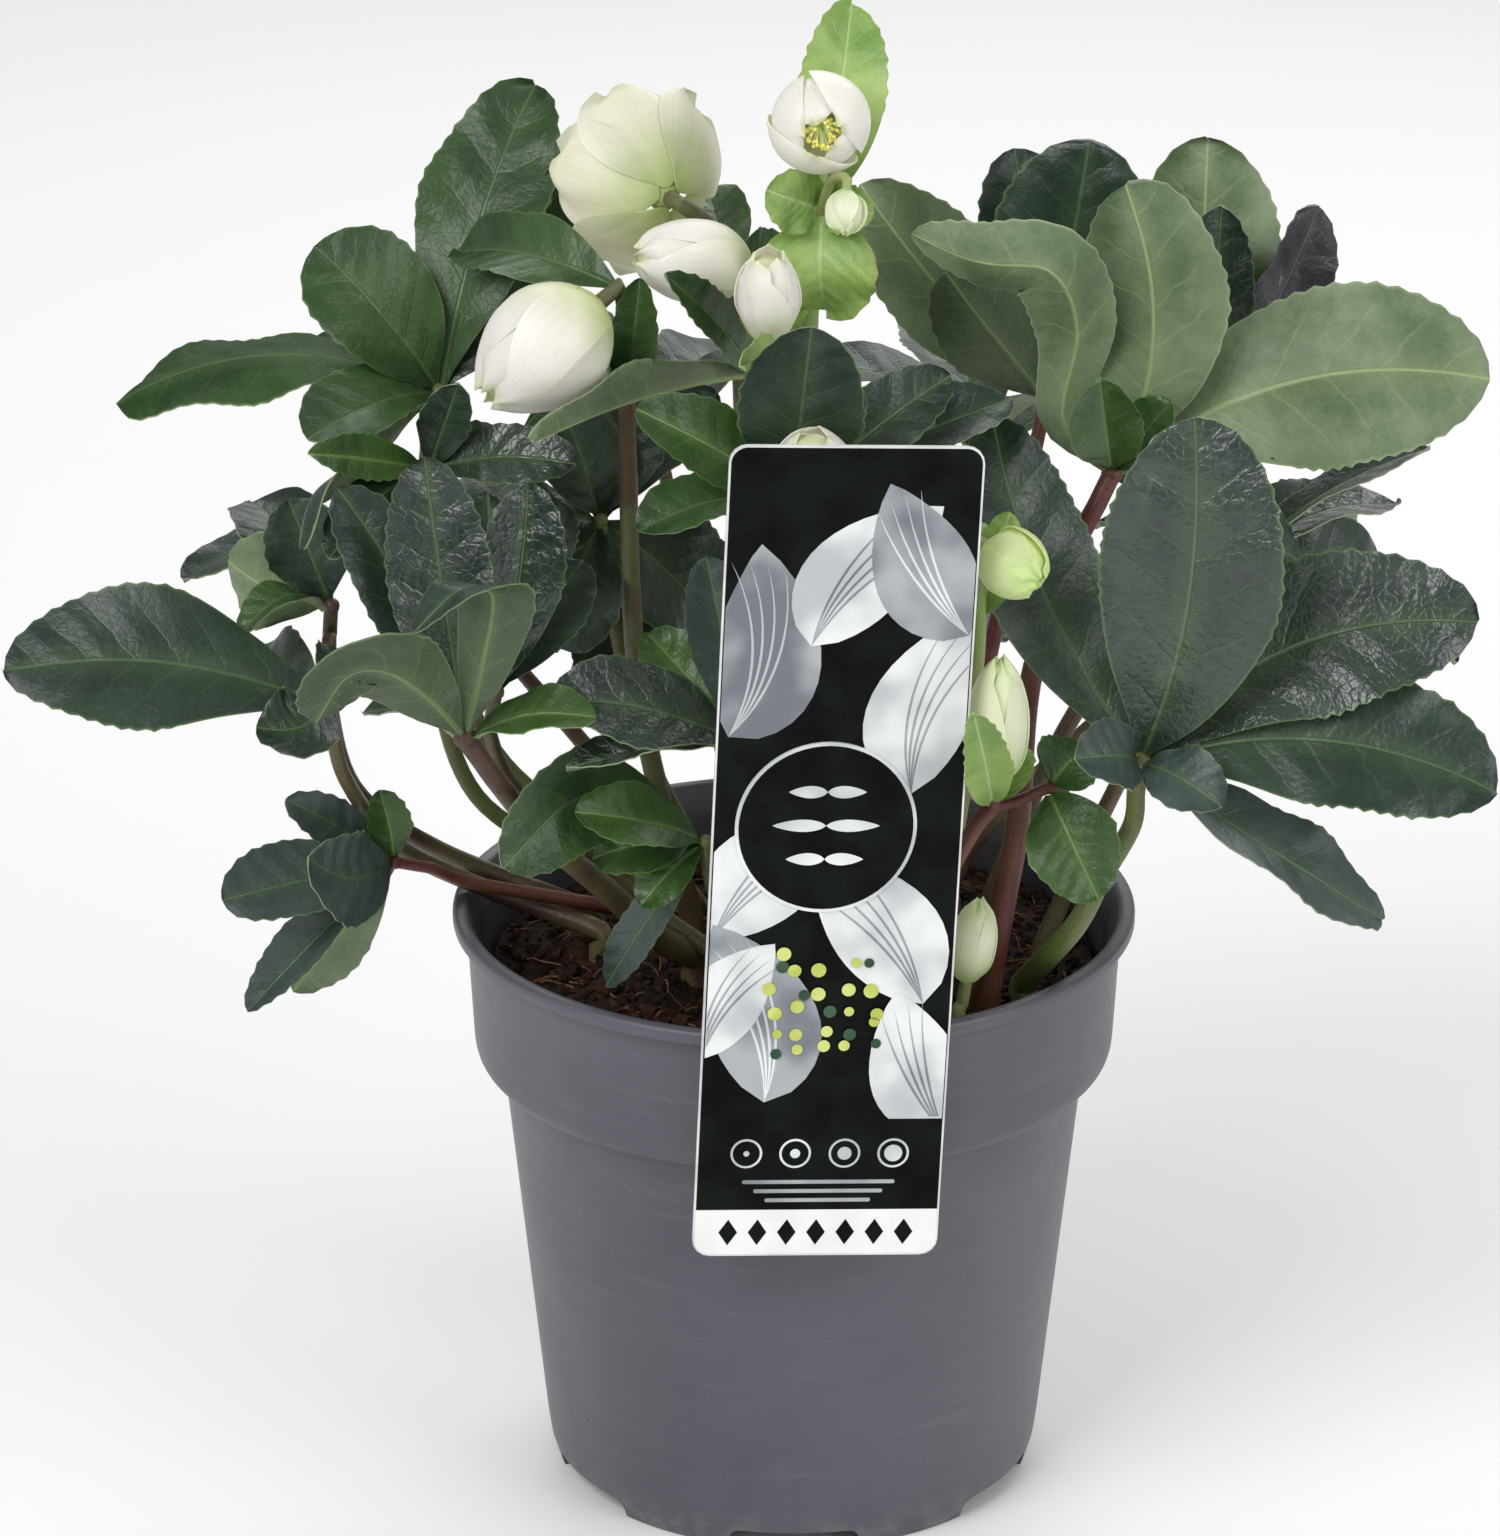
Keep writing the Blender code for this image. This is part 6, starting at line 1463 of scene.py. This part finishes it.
def add_soil(rng):
    """Plug of soil, rough on top, with crumbs and fibres lying on it."""
    build = Build()
    steps = 96
    radii = [1.6 * number for number in range(1, 33)] + [52.7]
    wall = [
        (COLLAR_RADIUS - 3.9, SOIL_TOP - 0.9), (COLLAR_FOOT_RADIUS - WALL - 0.6, COLLAR_FOOT + 3.4),
        (WALL_TOP_RADIUS - WALL - 0.9, COLLAR_FOOT - 2.4), (WALL_FOOT_RADIUS - 3.0, FOOT_HEIGHT + 4.6),
        (WALL_FOOT_RADIUS - 5.6, FOOT_HEIGHT + WALL + PLAY),
    ]
    points = [Vector((0.0, 0.0, soil_height(0.0, 0.0)))]
    for radius in radii:
        for place in ring_points(radius, 0.0, steps):
            points.append(Vector((place.x, place.y, soil_height(place.x, place.y))))
    for radius, height in wall:
        for place in ring_points(radius, height, steps):
            dent = 0.35 * (noise.noise(place * 0.3) - 0.6)
            points.append(place * (1.0 + min(dent, 0.0) / radius) if radius > 40.0 else place)
    points.append(Vector((0.0, 0.0, FOOT_HEIGHT + WALL + PLAY)))
    last = len(points) - 1
    count = len(radii) + len(wall)
    faces = []
    for step in range(steps):
        after = (step + 1) % steps
        faces.append((0, 1 + step, 1 + after))
        for ring in range(count - 1):
            near = 1 + ring * steps
            faces.append((near + step, near + steps + step, near + steps + after, near + after))
        end = 1 + (count - 1) * steps
        faces.append((end + step, last, end + after))
    build.add(points, faces, "soil")
    for number in range(2600):
        reach = 52.0 * math.sqrt(rng.random())
        turn = rng.uniform(0.0, 2.0 * math.pi)
        x = math.cos(turn) * reach
        y = math.sin(turn) * reach
        size = rng.choice((0.35, 0.5, 0.5, 0.7, 0.7, 0.9, 1.3)) * rng.uniform(0.8, 1.2)
        shape = bmesh.new()
        bmesh.ops.create_icosphere(shape, subdivisions=1, radius=size)
        spin = Quaternion((rng.random() + 0.01, rng.random(), rng.random()), rng.uniform(0.0, 3.0))
        shift = Vector((x, y, soil_height(x, y) + 0.25 * size))
        grains = []
        for vertex in shape.verts:
            place = vertex.co * rng.uniform(0.7, 1.2)
            place.z *= 0.75
            place.x *= 1.25
            place.rotate(spin)
            grains.append(place + shift)
        shape.verts.ensure_lookup_table()
        build.add(grains, [tuple(vertex.index for vertex in face.verts) for face in shape.faces],
                  "crumb" if rng.random() < 0.6 else "soil")
        shape.free()
    for number in range(320):
        reach = 50.0 * math.sqrt(rng.random())
        turn = rng.uniform(0.0, 2.0 * math.pi)
        x = math.cos(turn) * reach
        y = math.sin(turn) * reach
        heading = rng.uniform(0.0, 2.0 * math.pi)
        length = rng.uniform(2.5, 8.0)
        bend = rng.uniform(-0.5, 0.5)
        line = []
        for step in range(6):
            part = step / 5.0
            px = x + math.cos(heading + bend * part) * length * part
            py = y + math.sin(heading + bend * part) * length * part
            away = max(math.hypot(px, py) / 51.8, 1.0)
            lift = 0.35 + 0.9 * math.sin(math.pi * part) * abs(bend)
            line.append(Vector((px / away, py / away, soil_height(px / away, py / away) + lift)))
        if (line[0] - line[-1]).length > 1.5:
            thick = rng.uniform(0.10, 0.24)
            add_tube(build, line, [thick] * 6, "fibre", sides=5, ribs=0.0)
    return build.finish("soil_peat", ["soil"], "soil", angle=60.0)


# Label

def label_point(x, z, out):
    """Point on the label's face: x across, z up from its middle, out in front of the face."""
    yaw = Quaternion((0.0, 0.0, 1.0), math.radians(LABEL_YAW))
    lean = Quaternion((1.0, 0.0, 0.0), math.radians(LABEL_LEAN))
    roll = Quaternion((0.0, 1.0, 0.0), math.radians(LABEL_ROLL))
    flat = Vector((x, -0.5 * LABEL_THICKNESS - out, z))
    return (yaw @ lean @ roll) @ flat + Vector(LABEL_CENTRE)


def add_print(build, outline, low, high, slot):
    """Thin printed shape on the label, from one layer to another; the outline runs anticlockwise."""
    count = len(outline)
    points = [label_point(x, z, high) for x, z in outline] + [label_point(x, z, low) for x, z in outline]
    faces = [tuple(range(count)), tuple(range(2 * count - 1, count - 1, -1))]
    for here in range(count):
        there = (here + 1) % count
        faces.append((there, here, here + count, there + count))
    build.add(points, faces, slot)


def round_outline(width, length, radius, x=0.0, z=0.0, steps=8):
    points = []
    for corner, (side, end) in enumerate(((1, 1), (-1, 1), (-1, -1), (1, -1))):
        for step in range(steps + 1):
            angle = math.radians(90.0 * (corner + step / steps))
            points.append((x + side * (0.5 * width - radius) + radius * math.cos(angle),
                           z + end * (0.5 * length - radius) + radius * math.sin(angle)))
    return points


def spray_outline(x, z, length, width, angle, bend=0.0):
    """Outline of a plain leaf shape with its foot at x, z."""
    steps = 14
    left = []
    right = []
    for step in range(steps + 1):
        share = step / steps
        half = 0.5 * width * math.sin(math.pi * share ** 0.8) ** 0.8 if 0 < step < steps else 0.0
        turn = angle + bend * share
        middle = (x + math.sin(turn) * length * share, z + math.cos(turn) * length * share)
        side = (math.cos(turn), -math.sin(turn))
        left.append((middle[0] - side[0] * half, middle[1] - side[1] * half))
        right.append((middle[0] + side[0] * half, middle[1] + side[1] * half))
    return right[:-1] + left[:0:-1]


def ring_outline(x, z, radius, steps=40):
    return [(x + radius * math.cos(2.0 * math.pi * step / steps),
             z + radius * math.sin(2.0 * math.pi * step / steps))
            for step in range(steps)]


def clip_outline(outline, half_wide, low, high):
    """The part of an outline inside an upright rectangle."""
    for axis, limit, keep in ((0, -half_wide, 1), (0, half_wide, -1), (1, low, 1), (1, high, -1)):
        kept = []
        for here, there in zip(outline, outline[1:] + outline[:1]):
            inside = (here[axis] - limit) * keep >= 0.0
            if inside:
                kept.append(here)
            if inside != ((there[axis] - limit) * keep >= 0.0):
                part = (limit - here[axis]) / (there[axis] - here[axis])
                kept.append((here[0] + (there[0] - here[0]) * part, here[1] + (there[1] - here[1]) * part))
        outline = kept
        if len(outline) < 3:
            return []
    return outline


def add_label_print(rng):
    """Print on the label's face: pale leaf sprays and berries on a dark field, and plain bands."""
    build = Build()
    layer = 0.03
    field = round_outline(LABEL_WIDTH - 0.7, LABEL_LENGTH - 0.7, LABEL_CORNER - 0.3)
    low = -0.5 * LABEL_LENGTH + 8.6
    field = clip_outline(field, LABEL_WIDTH, low, LABEL_LENGTH)
    add_print(build, field, -0.1, layer, "ink_dark")
    half = 0.5 * LABEL_WIDTH - 0.35
    sprays = [
        (-19.0, 22.0, 34.0, 19.0, 0.62, -0.5), (12.0, 12.0, 34.0, 18.0, -0.15, 0.45),
        (-6.0, 38.0, 32.0, 17.0, 0.35, 0.35), (20.0, 40.0, 30.0, 17.0, -0.75, 0.25),
        (-20.0, -14.0, 32.0, 18.0, 0.45, 0.35), (16.0, -26.0, 34.0, 18.0, -0.35, -0.3),
        (-10.0, -44.0, 34.0, 19.0, 0.15, -0.45), (21.0, -50.0, 28.0, 16.0, -0.55, 0.2),
        (-21.0, -36.0, 24.0, 14.0, 0.1, 0.4), (4.0, -6.0, 24.0, 14.0, -0.7, 0.2),
    ]
    level = layer
    for number, (x, z, length, width, angle, bend) in enumerate(sprays):
        outline = clip_outline(spray_outline(x, z, length, width, angle, bend), half - 0.2, low + 17.0, 71.6)
        if len(outline) < 3:
            continue
        top = level + layer
        add_print(build, outline, level - 0.02, top, "ink_pale" if number % 3 else "ink_grey")
        for rib in (-0.42, -0.14, 0.14, 0.42):
            line = spray_outline(x, z, length * 0.9, 0.45, angle + 0.35 * rib, bend)
            line = clip_outline(line, half - 0.3, low + 17.4, 71.2)
            if len(line) >= 3:
                add_print(build, line, level, top + 0.015, "ink_grey" if number % 3 else "ink_pale")
        level = top + 0.01
    for number in range(26):
        x = -9.0 + 4.1 * (number % 5) + rng.uniform(-1.2, 1.2)
        z = -34.0 + 3.6 * (number // 5) + rng.uniform(-1.2, 1.2)
        add_print(build, ring_outline(x, z, rng.uniform(0.8, 1.3), 16), level - 0.05, level + 0.03,
                  "ink_lime" if number % 4 else "ink_green")
    plaque = level + 0.05
    add_print(build, ring_outline(-2.0, 6.0, 15.2, 64), 0.0, plaque, "ink_pale")
    add_print(build, ring_outline(-2.0, 6.0, 14.6, 64), 0.0, plaque + 0.03, "ink_dark")
    for number, (wide, z) in enumerate(((13.0, 12.4), (18.0, 6.4), (13.0, 0.4))):
        for side in (-1.0, 1.0):
            outline = spray_outline(-2.0, z, 0.5 * wide, 2.2, side * 1.5708, 0.0)
            add_print(build, outline, plaque, plaque + 0.06, "ink_pale")
    for number, x in enumerate((-12.5, -4.2, 4.2, 12.5)):
        z = low + 10.5
        add_print(build, ring_outline(x, z, 2.7, 32), layer - 0.02, layer + 0.03, "ink_pale")
        add_print(build, ring_outline(x, z, 2.3, 32), layer, layer + 0.05, "ink_dark")
        add_print(build, ring_outline(x, z, 0.5 + 0.35 * number, 24), layer, layer + 0.08, "ink_pale")
    for number in range(3):
        outline = round_outline(26.0 - 4.0 * number, 0.7, 0.3, 0.0, low + 5.2 - 1.7 * number, 3)
        add_print(build, outline, layer - 0.02, layer + 0.03, "ink_grey")
    strip = clip_outline(round_outline(LABEL_WIDTH - 0.7, LABEL_LENGTH - 0.7, LABEL_CORNER - 0.3),
                         LABEL_WIDTH, -LABEL_LENGTH, low)
    add_print(build, strip, -0.1, layer, "ink_white")
    for number in range(7):
        x = -15.0 + 5.0 * number
        z = low - 4.2
        outline = [(x + 1.6, z), (x, z + 2.4), (x - 1.6, z), (x, z - 2.4)]
        add_print(build, outline, layer - 0.02, layer + 0.03, "ink_dark")
    return build.finish("label_print", [], "label", angle=20.0)


# The whole plant

def build_plant():
    rng = random.Random(11)
    add_pot()
    add_soil(rng)
    for frond in FRONDS:
        add_frond(frond, rng)
    for stalk in FLOWER_STALKS:
        add_flower_stalk(stalk, rng)
    for flower in BLOOMS:
        add_bloom(flower, rng)
    add_label_print(rng)
    for item in bpy.context.scene.objects:
        if item.get("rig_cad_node") == "label":
            for place in item.material_slots:
                place.link = "OBJECT"
                place.material = MATERIALS["card"]


# Camera, light and floor

def point_at(item, place, target):
    item.location = Vector(place) * MM
    item.rotation_euler = (Vector(target) - Vector(place)).to_track_quat("-Z", "Y").to_euler()


def area_light(name, place, target, size, power, colour=(1.0, 1.0, 1.0)):
    data = bpy.data.lights.new(name, "AREA")
    data.shape = "RECTANGLE"
    data.size = size[0]
    data.size_y = size[1]
    data.energy = power
    data.color = colour
    item = bpy.data.objects.new(name, data)
    bpy.context.scene.collection.objects.link(item)
    point_at(item, place, target)


def build_set():
    """Pale floor, soft studio light and the photograph's viewpoint."""
    mesh = bpy.data.meshes.new("floor")
    reach = 9.0
    mesh.from_pydata([(-reach, -reach, 0.0), (reach, -reach, 0.0), (reach, reach, 0.0), (-reach, reach, 0.0)],
                     [], [(0, 1, 2, 3)])
    net = Nodes("floor_paper", 0.7, 0.2)
    cloud = net.noise(net.add("ShaderNodeTexCoord", 3), 3.0, 3.0)
    mesh.materials.append(net.finish(net.mix(cloud, (0.90, 0.90, 0.90), (0.92, 0.92, 0.92))))
    floor = bpy.data.objects.new("floor", mesh)
    bpy.context.scene.collection.objects.link(floor)
    world = bpy.data.worlds.new("studio")
    world.use_nodes = True
    shade = world.node_tree.nodes["Background"]
    shade.inputs["Color"].default_value = (1.0, 1.0, 1.0, 1.0)
    shade.inputs["Strength"].default_value = 0.42
    bpy.context.scene.world = world
    bpy.context.scene.view_settings.view_transform = "Standard"
    area_light("key", (-700.0, -900.0, 1100.0), (0.0, 0.0, 150.0), (0.8, 0.8), 12.5)
    area_light("fill", (1000.0, -700.0, 700.0), (0.0, 0.0, 140.0), (0.8, 0.8), 6.5)
    area_light("back", (200.0, 900.0, 900.0), (0.0, 0.0, 160.0), (1.2, 0.6), 6.5)
    lens = bpy.data.cameras.new("camera")
    lens.sensor_fit = "AUTO"
    lens.sensor_width = 36.0
    lens.lens = 36.0 * PHOTO_FOCAL / PHOTO_HEIGHT
    lens.clip_start = 0.05
    lens.clip_end = 40.0
    camera = bpy.data.objects.new("camera", lens)
    bpy.context.scene.collection.objects.link(camera)
    camera.location = (CAMERA + AXIS) * MM
    camera.rotation_euler = (0.5 * math.pi - PITCH, 0.0, 0.0)
    bpy.context.scene.camera = camera


build_plant()
build_set()
